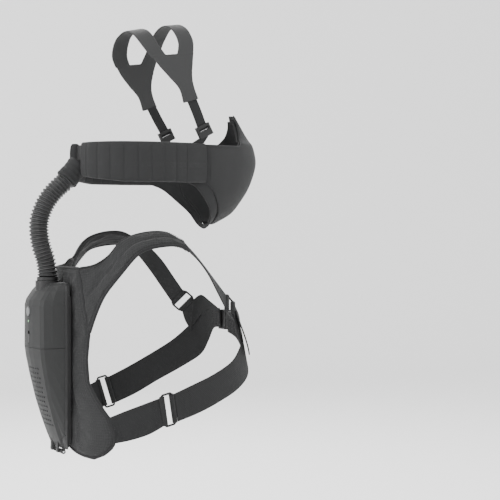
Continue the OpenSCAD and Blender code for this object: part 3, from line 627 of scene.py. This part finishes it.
def air_duct(side):
    share = np.linspace(0, 1, 420)
    mid, out, height, total = duct_section(side, share)
    turn = np.linspace(0, 2 * np.pi, 96, endpoint=False)
    c, v = np.cos(turn), np.sin(turn)
    flat = np.sign(c) * np.abs(c) ** 0.5
    tall = np.sign(v) * np.abs(v) ** 0.5
    phase = (share * total - CREASE_START) / CREASE_PITCH
    inside = (phase > 0) & (phase < CREASES)
    puff = np.where(inside, BULGE * np.abs(np.sin(np.pi * phase)) ** 0.34 - SINK, 0)
    wander = 0.25 * np.sin(share * 31 + side) + 0.2 * np.sin(share * 57 + 2)
    half = DUCT_T / 2 + puff[:, None] * np.abs(flat)[None, :] + wander[:, None] * 0.6
    centre = mid + np.stack([0 * share, 0 * share, DUCT_TOP - height / 2], 1)
    ring = (centre[:, None] + out[:, None] * (half * flat[None, :])[..., None]
            + np.array([0, 0, 1.0]) * ((height / 2 + 0.12 * wander)[:, None] * tall[None, :])[..., None])
    m, n = ring.shape[:2]
    faces = quads(m, n, wrap=True)
    faces += [tuple(range(n)), tuple((m - 1) * n + j for j in range(n))]
    uv = grid_uv(ring).reshape(-1, 2)
    name = "duct_" + SIDE_NAMES[side]
    dress(mesh_object(name, metres(ring.reshape(-1, 3)), faces, uv), "sleeve_fabric", "mask_unit",
          ["duct_sleeve_" + SIDE_NAMES[side], "air_duct_" + SIDE_NAMES[side]])
    seams = []
    for k in range(CREASES + 1):
        s = (CREASE_START + CREASE_PITCH * k) / total
        at_mid, at_out, at_h, _ = duct_section(side, np.array([s - 0.002, s, s + 0.002]))
        for face in (1, -1):
            z = np.linspace(-0.4, 0.4, 24)
            line = (at_mid[1] + at_out[1] * face * (DUCT_T / 2 - 1.4))[None] + np.stack(
                [0 * z, 0 * z, DUCT_TOP - at_h[1] / 2 + z * at_h[1]], 1)
            seams.append(line)
    for end in (1, -1):
        edge_share = np.linspace(0.06, 0.97, 160)
        e_mid, _, e_h, _ = duct_section(side, edge_share)
        level = DUCT_TOP - e_h / 2 + end * (e_h / 2 + 0.12)
        seams.append(e_mid + np.stack([0 * e_h, 0 * e_h, level], 1))
    dress(stitches(name + "_stitches", seams, 3.0, 2.0, 0.24), "sleeve_fabric", "mask_unit",
          material=thread)


for side in (RIGHT, LEFT):
    air_duct(side)

# ---- mask ----

MASK_WALL = 2.6
PEAK_H = 46.0
VALVE_AT = np.array([254.5, 0, 31.6])
VALVE_TILT = math.radians(131)
VALVE_R = 15.0
# Level, front, side edge, half width
mask_rows = [
    [3, 225, 216, 9], [8, 236, 214, 19], [20, 257, 209, 34], [34, 269, 202, 46], [53, 282, 194, 56],
    [73, 291, 189, 61], [91, 295.5, 188, 63], [105, 294, 188, 63], [118, 290, 192, 59],
    [125, 286, 206, 42], [135, 280, 226, 28], [150, 271, 243, 18], [164, 262, 250, 12],
]
mask_fine = smooth(mask_rows, 10)


def mask_point(a, z):
    front, edge, w = (np.interp(z, mask_fine[:, 0], mask_fine[:, k]) for k in (1, 2, 3))
    r = np.radians(a)
    return np.stack([edge + (front - edge) * np.cos(r), w * np.sin(r), z], -1)


def mask_top(a):
    a = np.abs(a)
    return DUCT_TOP - 0.5 + PEAK_H * (1 - step(a, 36, 54)) - 2 * (1 - step(a, 0, 14))


def mask_foot(a):
    return 4 + 57.5 * step(np.abs(a), 62, 90)


def mask_grid(low, high, columns=150, rows=64):
    share, edge = rounded(180.0, 1.6, columns - 12)
    a = -90 + 180 * share
    rise, rim = rounded(100.0, 1.6, rows - 12)
    span = (mask_top(a) - mask_foot(a))[:, None]
    z = mask_foot(a)[:, None] + span * (low + (high - low) * rise[None, :])
    return mask_point(a[:, None] + 0 * z, z), edge[:, None] * rim[None, :]


def valve_cutter(name, radius, low, high):
    """Cylinder on the exhalation valve's axis, from level low to high along it."""
    axis = np.array([math.sin(VALVE_TILT), 0, math.cos(VALVE_TILT)])
    line = np.array([VALVE_AT + axis * low, VALVE_AT + axis * high])
    return tube(name, line, radius, 64)


def cut(obj, *cutters):
    for cutter in cutters:
        apply_modifier(obj, "BOOLEAN", operation="DIFFERENCE", solver="EXACT", object=cutter)
        bpy.data.objects.remove(cutter)
    return obj


shell_grid, shell_rim = mask_grid(0, 1)
mask = slab("mask", shell_grid, -MASK_WALL * (0.5 + 0.5 * shell_rim),
            -MASK_WALL * (0.5 - 0.5 * shell_rim))
cut(mask, valve_cutter("bore", VALVE_R - 2, -20, 20), valve_cutter("recess", VALVE_R + 0.1, 1, 21))
dress(mask, "mask_fabric", "mask_unit", ["mask_shell"])

lining_grid, lining_rim = mask_grid(0.01, 0.955)
lining_grid = lining_grid[12:-12] - np.array([MASK_WALL + 0.9, 0, 0])
lining_rim = np.minimum(lining_rim[12:-12], 1)
lining = slab("mask_lining", lining_grid, -MASK_WALL - 2.2, -MASK_WALL - 0.2)
cut(lining, valve_cutter("lining_bore", VALVE_R + 1, -30, 20))
dress(lining, "seal_fabric", "mask_unit", ["face_seal"])


def over_mask(a, z, lift=0.25):
    """Points a little above the mask's outer side."""
    here = mask_point(a, z)
    da = mask_point(a + 0.5, z) - mask_point(a - 0.5, z)
    dz = mask_point(a, z + 0.5) - mask_point(a, z - 0.5)
    return here + unit(np.cross(da, dz)) * lift


rim_a = np.linspace(-88, 88, 260)
mask_seams = [over_mask(rim_a, mask_top(rim_a) - 4.0), over_mask(rim_a, mask_foot(rim_a) + 4.2)]
for side in (RIGHT, LEFT):
    z = np.linspace(66, 111, 30)
    mask_seams.append(over_mask(np.full(30, side * 84.0), z))
dress(stitches("mask_stitches", mask_seams, 3.2, 2.1, 0.24), "mask_fabric", "mask_unit",
      material=thread)

# Edge sewn into the shell's rear edge, and the free edge along the jaw
jaw_upper = [[189.5, 57.6, 68], [201, 55.2, 58.5], [210.5, 49.6, 45], [220.5, 37.2, 27],
             [222, 20.5, 12], [219.5, 8, 5.5]]
jaw_lower = [[162, 65, 64], [180, 59.5, 56], [198, 50, 39], [211, 37, 23], [216, 20, 7],
             [217, 5, 1]]


def both_sides(points):
    p = np.array(points, float)
    return np.concatenate([on_side(p, RIGHT), p[::-1]])


jaw = band("jaw_cloth", both_sides(jaw_upper), both_sides(jaw_lower), 2.6, across=24, ripple=0.6)
dress(jaw, "seal_fabric", "mask_unit", ["jaw_panel"])
jaw_hem = tube("jaw_hem", smooth(both_sides(jaw_lower), 10), 1.5, 12)
dress(jaw_hem, "seal_fabric", "mask_unit", material=tape)

# ---- head harness ----

TAB_PIN = np.array([190, 66, 128.5])
LOCK_LEAN = math.radians(27)


def harness_tab(side):
    pin = TAB_PIN * [1, side, 1]
    foot, top = np.array([169.0, 187.0]), np.array([pin[0] - 4, pin[0] + 4])
    s = np.linspace(0, 1, 24)[:, None]
    x = (foot * (1 - s) + top * s)
    z = DUCT_TOP + s * (pin[2] - 2.2 - DUCT_TOP)
    across = np.linspace(0, 1, 9)
    width = x[:, :1] * (1 - across) + x[:, 1:] * across
    g = np.stack([width, pin[1] + 0 * z + 0 * across, z + 0 * across], -1)
    edge = np.clip(np.minimum(across, 1 - across) * 9, 0.35, 1)[None]
    name = "harness_tab_" + SIDE_NAMES[side]
    piece = slab(name + "_cloth", g, -0.95 * edge, 0.95 * edge)
    turn = np.linspace(0, 2 * np.pi, 25)[:-1]
    loop = pin + 3.1 * np.stack([np.cos(turn), 0 * turn, np.sin(turn)], 1)
    return join(name + "_piece", [piece, tube(name + "_loop", loop, 0.9, 10, closed=True)])


def lean_at(x, z):
    c, s = math.cos(LOCK_LEAN), math.sin(LOCK_LEAN)
    return TAB_PIN[0] + x * c - z * s, TAB_PIN[2] + z * c + x * s


def web_line(side, x):
    out = []
    for z, y in ((6.5, 66), (14.5, 66.1), (32, 69.4), (52, 71.5)):
        px, pz = lean_at(x, z)
        out.append([px, side * y, pz])
    return out


for side in (RIGHT, LEFT):
    word = SIDE_NAMES[side]
    dress(harness_tab(side), "webbing", "mask_unit", ["harness_tab_" + word])
    webbing = band("head_webbing_" + word + "_cloth", web_line(side, 7.2), web_line(side, -7.2), 1.5)
    dress(webbing, "webbing", "crown", ["head_webbing_" + word])

plate_front = [[176, 73.3, 176], [170, 73.6, 190], [167, 72.6, 206], [169, 70, 224], [172, 66, 240]]
plate_rear = [[153, 73.3, 169], [147, 73.8, 188], [133, 73, 203], [119, 70.5, 218], [109, 67, 232]]
front_band = ([[171.5, 66.5, 238], [175, 58, 256], [176, 38, 274], [175, 13, 284]],
              [[146, 67, 233], [152, 58, 252], [153, 38, 271], [153, 13, 281]])
rear_band = ([[134, 68, 229], [124, 59, 247], [120, 38, 267], [119, 13, 275]],
             [[109, 67, 229], [100, 59, 244], [96, 38, 261], [96, 13, 270]])
cradle = [band("plate", on_side(plate_front, side), on_side(plate_rear, side), 2.4)
          for side in (RIGHT, LEFT)]
cradle += [band("top", both_sides(a), both_sides(b), 2.2) for a, b in (front_band, rear_band)]
cradle = join("head_cradle", cradle)
apply_modifier(cradle, "REMESH", mode="VOXEL", voxel_size=0.0009, use_smooth_shade=True)
apply_modifier(cradle, "SMOOTH", factor=0.5, iterations=6)
dress(cradle, "crown_rubber", "crown", ["crown_harness"])

# ---- back pad and shoulder straps ----

PAD_T = 7.0
PAD_CLOTH_STEP = 5.0
# Width of the rounding along a pad's rim, and share of full thickness left along its channels
PAD_EDGE = 5.0
CHANNEL_SHARE = 0.55
# The wearer's back in plan: where its sides end, how far its middle lies behind them, its half width
BACK_REACH, BACK_DEPTH, BACK_HALF_W = 130, 124, 122
# Level where the pad's lower wings start, their height, and how far its lower edge arches up between
WING_TOP, WING_H, ARCH_RISE = -232, 71, 16
PAD_COLUMNS = 37
# Distance of a shoulder strap's stitches from its middle
STRAP_THREAD_LIFT = 3.2


def back_x(y):
    return BACK_REACH - BACK_DEPTH * np.power(1 - np.minimum(np.abs(y) / BACK_HALF_W, 1) ** 2.5, 0.4)


# Level and half width of the back pad
pad_rows = [[-54, 46], [-60, 47.5], [-80, 52.1], [-110, 59.1], [-140, 66.1], [-150, 64.5], [-175, 61.5],
            [-205, 64.5], [-232, 81], [-252, 94], [-272, 98.5], [-287, 97], [-298, 88], [-303, 74]]


def pad_grid():
    rows = np.array(pad_rows, float)
    down = np.linspace(rows[0, 0], rows[-1, 0], int(250 / PAD_CLOTH_STEP * 1.1))
    half = np.interp(-down, -rows[:, 0], rows[:, 1])
    across = np.linspace(-1, 1, PAD_COLUMNS)
    y = half[:, None] * across[None, :]
    arch = np.maximum(0, WING_TOP - down)[:, None] / WING_H
    z = down[:, None] + ARCH_RISE * arch * (1 - np.abs(across)[None, :]) ** 2
    return np.stack([back_x(y), y, z], -1)


# Share of full thickness that is left at a pad's rim. The cloth solver does nothing at all, and
# says nothing, where the two skins of a pad coincide, so this is never 0.
RIM_SHARE = 0.15


def rim_profile(g, edge):
    """Share of full thickness at each point of a grid, rounded towards its rim."""
    m, n = g.shape[:2]
    d = np.full((m, n), 1e9)
    rim = np.concatenate([g[0], g[-1], g[:, 0], g[:, -1]])
    for p in rim:
        d = np.minimum(d, np.linalg.norm(g - p, axis=2))
    t = np.clip(d / edge, 0, 1)
    return RIM_SHARE + (1 - RIM_SHARE) * np.sqrt(1 - (1 - t) ** 2)


# The furthest point of a simulated pad moves by more than the first and less than the second, in metres
LEAST_SWELL, MOST_SWELL = 0.0003, 0.03
CLOTH_FRAMES = 20
PRESSURE = 3.0
# What the swelling of the back pad and of the shoulder straps levels off at, in metres
PAD_SWELL, STRAP_SWELL = 0.0022, 0.0018


def puff(obj, pinned, cap):
    """Blows a closed pad up by cloth simulation, seams pinned, and keeps the result.

    The swelling levels off at cap. A simulation that moves nothing is an error, not a flat pad.
    """
    group = obj.vertex_groups.new(name="seams")
    group.add([int(i) for i in pinned], 1.0, "REPLACE")
    rest = np.array([v.co for v in obj.data.vertices])
    mod = obj.modifiers.new("cloth", "CLOTH")
    mod.settings.quality = 6
    mod.settings.mass = 0.25
    mod.settings.tension_stiffness = 12
    mod.settings.compression_stiffness = 12
    mod.settings.bending_stiffness = 0.6
    mod.settings.shrink_min = -0.035
    mod.settings.use_pressure = True
    mod.settings.uniform_pressure_force = PRESSURE
    mod.settings.effector_weights.gravity = 0
    mod.settings.vertex_group_mass = "seams"
    mod.point_cache.frame_start, mod.point_cache.frame_end = 1, CLOTH_FRAMES
    for f in range(1, CLOTH_FRAMES + 1):
        bpy.context.scene.frame_set(f)
    shape = obj.evaluated_get(bpy.context.evaluated_depsgraph_get())
    moved = np.array([v.co for v in shape.data.vertices])
    obj.modifiers.remove(mod)
    bpy.context.scene.frame_set(1)
    shift = moved - rest
    size = np.linalg.norm(shift, axis=1, keepdims=True)
    if not LEAST_SWELL < size.max() < MOST_SWELL:
        raise RuntimeError(f"cloth of {obj.name}: its furthest point moved {size.max() * 1000:.3f} mm")
    shift *= cap * np.tanh(size / cap) / np.maximum(size, 1e-9)
    obj.data.vertices.foreach_set("co", (rest + shift).astype(np.float32).ravel())
    obj.data.update()
    return obj


def padding(name, g, lo, hi, channels, cap, slot, nodes):
    """Sewn pad over a grid: both skins are pinned along its rim and along its channels."""
    m, n = g.shape[:2]
    profile = rim_profile(g, PAD_EDGE)
    mid, half = (lo + hi) / 2, (hi - lo) / 2
    sewn = np.zeros((m, n), bool)
    for rows, cols in channels:
        sewn[rows, cols] = True
    thin = np.where(sewn, CHANNEL_SHARE, 1.0)
    obj = slab(name, g, mid - half * profile * thin, mid + half * profile * thin)
    rim = np.zeros((m, n), bool)
    rim[0] = rim[-1] = True
    rim[:, 0] = rim[:, -1] = True
    fixed = np.flatnonzero((rim | sewn).ravel())
    puff(obj, np.concatenate([fixed, fixed + m * n]), cap)
    apply_modifier(obj, "SUBSURF", levels=2)
    obj.data.polygons.foreach_set("use_smooth", [True] * len(obj.data.polygons))
    dress(obj, slot, "pack_frame", nodes)
    return obj


def rim_line(g, offset):
    """The rim of a grid as one closed line, set off along the normals."""
    p = g + normals(g) * offset
    return np.concatenate([p[:, 0], p[-1, 1:], p[-2::-1, -1], p[0, -2:0:-1]])


pad_g = pad_grid()
pad_m, pad_n = pad_g.shape[:2]
pad_channels = [(slice(3, pad_m - 3), pad_n // 2), (slice(3, pad_m - 3), pad_n // 4),
                (slice(3, pad_m - 3), pad_n - 1 - pad_n // 4)]
padding("pad", pad_g, 0.4, PAD_T, pad_channels, PAD_SWELL, "pad_fabric", ["back_pad"])
piping = tube("pad_piping", rim_line(pad_g, PAD_T / 2), 2.1, 12, closed=True)
dress(piping, "pad_fabric", "pack_frame", material=tape)

strap_inner = [[13.8, 46.1, -54], [31, 57, -50], [48, 65, -38], [62, 71, -20], [78, 75, -11],
               [101, 79, -6], [123, 80, -6.5], [142, 80, -15], [150, 79, -20]]
strap_outer = [[20.6, 66.2, -140], [26.5, 76, -113], [35, 86, -88], [52, 97, -62], [74, 102, -36],
               [92, 104, -27], [122, 104, -23], [141, 102.5, -26], [149, 101, -31]]


def strap_grid(side):
    a, b = (smooth(on_side(edge, side), SPAN_STEPS) for edge in (strap_inner, strap_outer))
    v = np.linspace(0, 1, 15)[None, :, None]
    return a[:, None] * (1 - v) + b[:, None] * v


for side in (RIGHT, LEFT):
    word = SIDE_NAMES[side]
    g = strap_grid(side)
    m, n = g.shape[:2]
    padding("shoulder_" + word, g, -PAD_T / 2 + 0.2, PAD_T / 2 - 0.2, [(slice(4, m - 3), n // 2)],
            STRAP_SWELL, "pad_fabric", ["shoulder_strap_" + word])
    piping = tube("piping_" + word, rim_line(g, 0), 1.9, 12, closed=True)
    dress(piping, "pad_fabric", "pack_frame", material=tape)
    nrm = normals(g)
    inset = [resample(g[2:m - 1, k], np.linspace(0, 1, 90)) for k in (1, n - 2)]
    lift = [resample(nrm[2:m - 1, k], np.linspace(0, 1, 90)) for k in (1, n - 2)]
    lines = [p + q * s * STRAP_THREAD_LIFT for p, q in zip(inset, lift) for s in (1, -1)]
    dress(stitches("shoulder_stitches_" + word, lines), "pad_fabric", "pack_frame", material=thread)

# ---- hanging loop and webbing ----

# Half width of the loop, how far it arches over its legs, and its lean away from the wearer's back
LOOP_HALF_W, LOOP_ARCH = 16.6, 12.6
LOOP_LEAN = math.radians(20)
turn = np.linspace(0, np.pi, 40)
loop_line = np.stack([0 * turn, LOOP_HALF_W * np.cos(turn), 4 + LOOP_ARCH * np.sin(turn)], 1)
loop_line = np.concatenate([[[0, LOOP_HALF_W, -8]], loop_line, [[0, -LOOP_HALF_W, -8]]])
hung = np.stack([12.9 + loop_line[:, 2] * math.sin(LOOP_LEAN), loop_line[:, 1],
                 -57.5 + loop_line[:, 2] * math.cos(LOOP_LEAN)], 1)
dress(tube("hanging_loop", hung, 1.35, 12), "webbing", "pack_frame", ["hang_loop"])

WEB_T = 2.0
CHEST_W, BELT_W = 28.0, 40.0
web_across = unit([-0.34, 0.71, -0.62])
web_run = unit([0.723, -0.2245, -0.6536])
STRAP_RING = np.array([219.5, 80.6, -107.6])
RING_MID = np.array([112.2, 116.8, -240])
ring_down = unit([11.5, -10.3, -48.4])
ring_ahead = unit([1, 0, 0.238])
BAR_R = 1.4
STRAP_RING_HALF, BELT_RING_HALF = 7.5, 7
# Distance of a seam's thread from the middle of its strap
THREAD_LIFT = 1.12
FOLD_END = STRAP_RING_HALF + BAR_R + WEB_T * 0.6
web_mid = np.array([[152, 89, -27], [165, 87.5, -38.5], [181, 86, -57], [198, 84.3, -81],
                    STRAP_RING - FOLD_END * web_run])
BELT_DROP = 18.0
belt_rise = np.array([0, 0.15, 0.5, 0.8, 0.95, 0.95, 0.6, 0.3])
stub_upper = [[36.5, 90.5, -250], [57, 103.5, -240], [80, 112.5, -231], [98.5, 118.5, -224]]
stub_lower = [[45, 96.3, -283], [65, 103.5, -279], [88, 109.5, -272], [107, 113, -262]]
belt_upper = [[118, 120.8, -219], [148, 119, -206.5], [180, 113, -192], [212, 103, -174],
              [232, 88, -154], [241, 74, -140], [246.6, 46, -124], [247.6, 12, -118]]
belt_lower = [[127, 113.9, -257], [158, 113, -246], [190, 107, -231], [224, 95, -214],
              [248, 78, -196], [253, 62, -175], [251.2, 40, -152], [249.6, 12, -146]]
panel_top = [[231, 69, -108], [238, 56, -106], [244, 38, -113], [247.4, 13, -120]]
panel_foot = [[234, 86, -156], [241, 73, -142], [246.6, 45, -126], [247.8, 13, -125]]
panel_rise = np.array([0.2, 0.9, 0.7, 0.3])


def tie_start(s):
    return STRAP_RING + web_run * FOLD_END + s * CHEST_W / 2 * web_across


tie_inner = [tie_start(-1), [240, 66, -118], [244, 62, -131]]
tie_outer = [tie_start(1), [227, 89, -140], [234, 87, -156]]
tie_fall = np.array([0, 3, 6])


def raised(points, side, rise):
    p = on_side(points, side)
    p[:, 2] += side * rise
    return p


def fold(name, mid, half, side):
    """Webbing turned round a bar: a roll with closed ends that the bar runs through."""
    a, b = on_side([mid - half, mid + half], side)
    line = a + np.linspace(0, 1, 24)[:, None] * (b - a)
    return tube(name, line, BAR_R + 0.1 + WEB_T, 28)


def seam_rows(edge_a, edge_b, starts):
    """Stitch lines across a strap at the given shares of its length, lifted off both faces."""
    a, b = (resample(smooth(edge, SPAN_STEPS), starts) for edge in (edge_a, edge_b))
    run = unit(np.gradient(smooth((np.asarray(edge_a) + np.asarray(edge_b)) / 2, SPAN_STEPS), axis=0))
    lines = []
    for p, q, s in zip(a, b, starts):
        n = unit(np.cross(run[int(s * (len(run) - 1))], q - p))
        for f in (THREAD_LIFT, -THREAD_LIFT):
            lines.append(np.array([p * (1 - k) + q * k + n * f for k in (0.1, 0.5, 0.9)]))
    return lines


# The chest webbing leaves the shoulder strap flat with its end, and turns to the ring's direction
web_start_across = unit(np.array(strap_outer[8]) - np.array(strap_inner[8]))
WEB_TURN = {RIGHT: [0, 0, 0.15, 0.6, 1], LEFT: [0, 0.6, 1, 1, 1]}

belt_stitches = []
for side in (RIGHT, LEFT):
    word = SIDE_NAMES[side]
    across = np.array([unit(web_start_across * (1 - k) + web_across * k) for k in WEB_TURN[side]])
    web = [on_side(web_mid + s * CHEST_W / 2 * across, side) for s in (-1, 1)]
    pieces = [band("chest", web[0], web[1], WEB_T),
              fold("chest_fold", STRAP_RING - web_run * STRAP_RING_HALF, web_across * CHEST_W / 2, side)]
    dress(join("chest_webbing_" + word, pieces), "webbing", "pack_frame", ["front_webbing_" + word])
    belt_stitches += seam_rows(web[0], web[1], [0.05, 0.1])
    stub = [on_side(stub_upper, side), on_side(stub_lower, side)]
    pieces = [band("stub", stub[0], stub[1], WEB_T),
              fold("stub_fold", RING_MID - ring_ahead * BELT_RING_HALF, ring_down * BELT_W / 2, side)]
    dress(join("belt_stub_" + word + "_cloth", pieces), "webbing", "pack_frame", ["belt_stub_" + word])
    belt_stitches += seam_rows(stub[0], stub[1], [0.1, 0.16, 0.86])
    belt = [raised(edge, side, BELT_DROP / 2 * belt_rise) for edge in (belt_upper, belt_lower)]
    tie = [raised(edge, side, tie_fall) for edge in (tie_inner, tie_outer)]
    panel = [raised(edge, side, BELT_DROP / 2 * panel_rise) for edge in (panel_top, panel_foot)]
    pieces = [band("belt", belt[0], belt[1], WEB_T), band("tie", tie[0], tie[1], WEB_T),
              band("corner", panel[0], panel[1], WEB_T),
              fold("belt_fold", RING_MID + ring_ahead * BELT_RING_HALF, ring_down * BELT_W / 2, side),
              fold("tie_fold", STRAP_RING + web_run * STRAP_RING_HALF, web_across * CHEST_W / 2, side)]
    dress(join("side_belt_" + word + "_cloth", pieces), "webbing", "pack_frame", ["side_belt_" + word])
    belt_stitches += seam_rows(belt[0], belt[1], [0.06, 0.1, 0.9, 0.95])
dress(stitches("belt_stitches", belt_stitches), "webbing", "pack_frame", material=thread)

# Free end of the right chest webbing, which hangs past its ring
tail_mid = np.array([[229, -80, -113], [234, -82, -130], [240, -83, -146], [246, -82, -162],
                     [250, -80, -175]])
tail_half = np.array([5.4, 10.9, 0.0])
tail = band("webbing_tail", tail_mid - tail_half, tail_mid + tail_half, 1.6)
dress(tail, "webbing", "pack_frame")

# ---- floor and light ----

# The respirator hangs in the air, this far over the floor, and the floor bends up behind it
FLOOR_GAP = 0.28
BEND, BEND_START = 1.2, 3.0
SWEEP_REACH, SWEEP_HALF_W = 6.0, 12.0
floor_z = min(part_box(n)[0][2] for n in frame["nodes"]) - FLOOR_GAP
sweep_paint = Paint("sweep", 0.9)
sweep_grain = sweep_paint.noise(sweep_paint.place(), 140, 4)
sweep_paint.colour(sweep_paint.tones(sweep_grain, (0.9, 0.9, 0.9), (0.94, 0.94, 0.94)))
sweep_paint.rough(sweep_grain, 0.85, 0.95)
turn = np.linspace(0, np.pi / 2, 24)
profile = [(-SWEEP_REACH, floor_z)]
profile += [(BEND_START + BEND * math.sin(t), floor_z + BEND * (1 - math.cos(t))) for t in turn]
profile += [(BEND_START + BEND, floor_z + SWEEP_REACH)]
sweep_points = [(x, y, z) for y, z in profile for x in (-SWEEP_HALF_W, SWEEP_HALF_W)]
sweep = bpy.data.meshes.new("sweep")
sweep.from_pydata(sweep_points, [], quads(len(profile), 2))
sweep.polygons.foreach_set("use_smooth", [True] * len(sweep.polygons))
floor = bpy.data.objects.new("floor", sweep)
bpy.context.scene.collection.objects.link(floor)
floor.data.materials.append(sweep_paint.mat)

world = bpy.data.worlds.new("studio")
bpy.context.scene.world = world
world.use_nodes = True
WORLD_STRENGTH = 1.7
backdrop = world.node_tree.nodes["Background"].inputs
backdrop[0].default_value = (1, 1, 1, 1)
backdrop[1].default_value = WORLD_STRENGTH


def area_light(name, place, aim, size, power):
    """Square light of the given size in metres and power in watts, turned towards aim."""
    data = bpy.data.lights.new(name, "AREA")
    data.size = size
    data.energy = power
    lamp = bpy.data.objects.new(name, data)
    bpy.context.scene.collection.objects.link(lamp)
    lamp.location = place
    direction = np.array(aim) - np.array(place)
    lamp.rotation_euler = (math.atan2(np.hypot(*direction[:2]), -direction[2]), 0,
                           math.atan2(direction[1], direction[0]) - math.pi / 2)


area_light("key", (-1.3, -1.5, 1.7), (0.1, 0, 0.1), 1.4, 60)
area_light("fill", (1.6, -1.6, 0.9), (0.1, 0, 0.1), 1.6, 24)
area_light("rim", (0.6, 1.7, 1.5), (0.1, 0, 0.1), 1.2, 40)
area_light("back", (-2.1, 0.1, 0.6), (0, 0, 0.05), 1.2, 34)
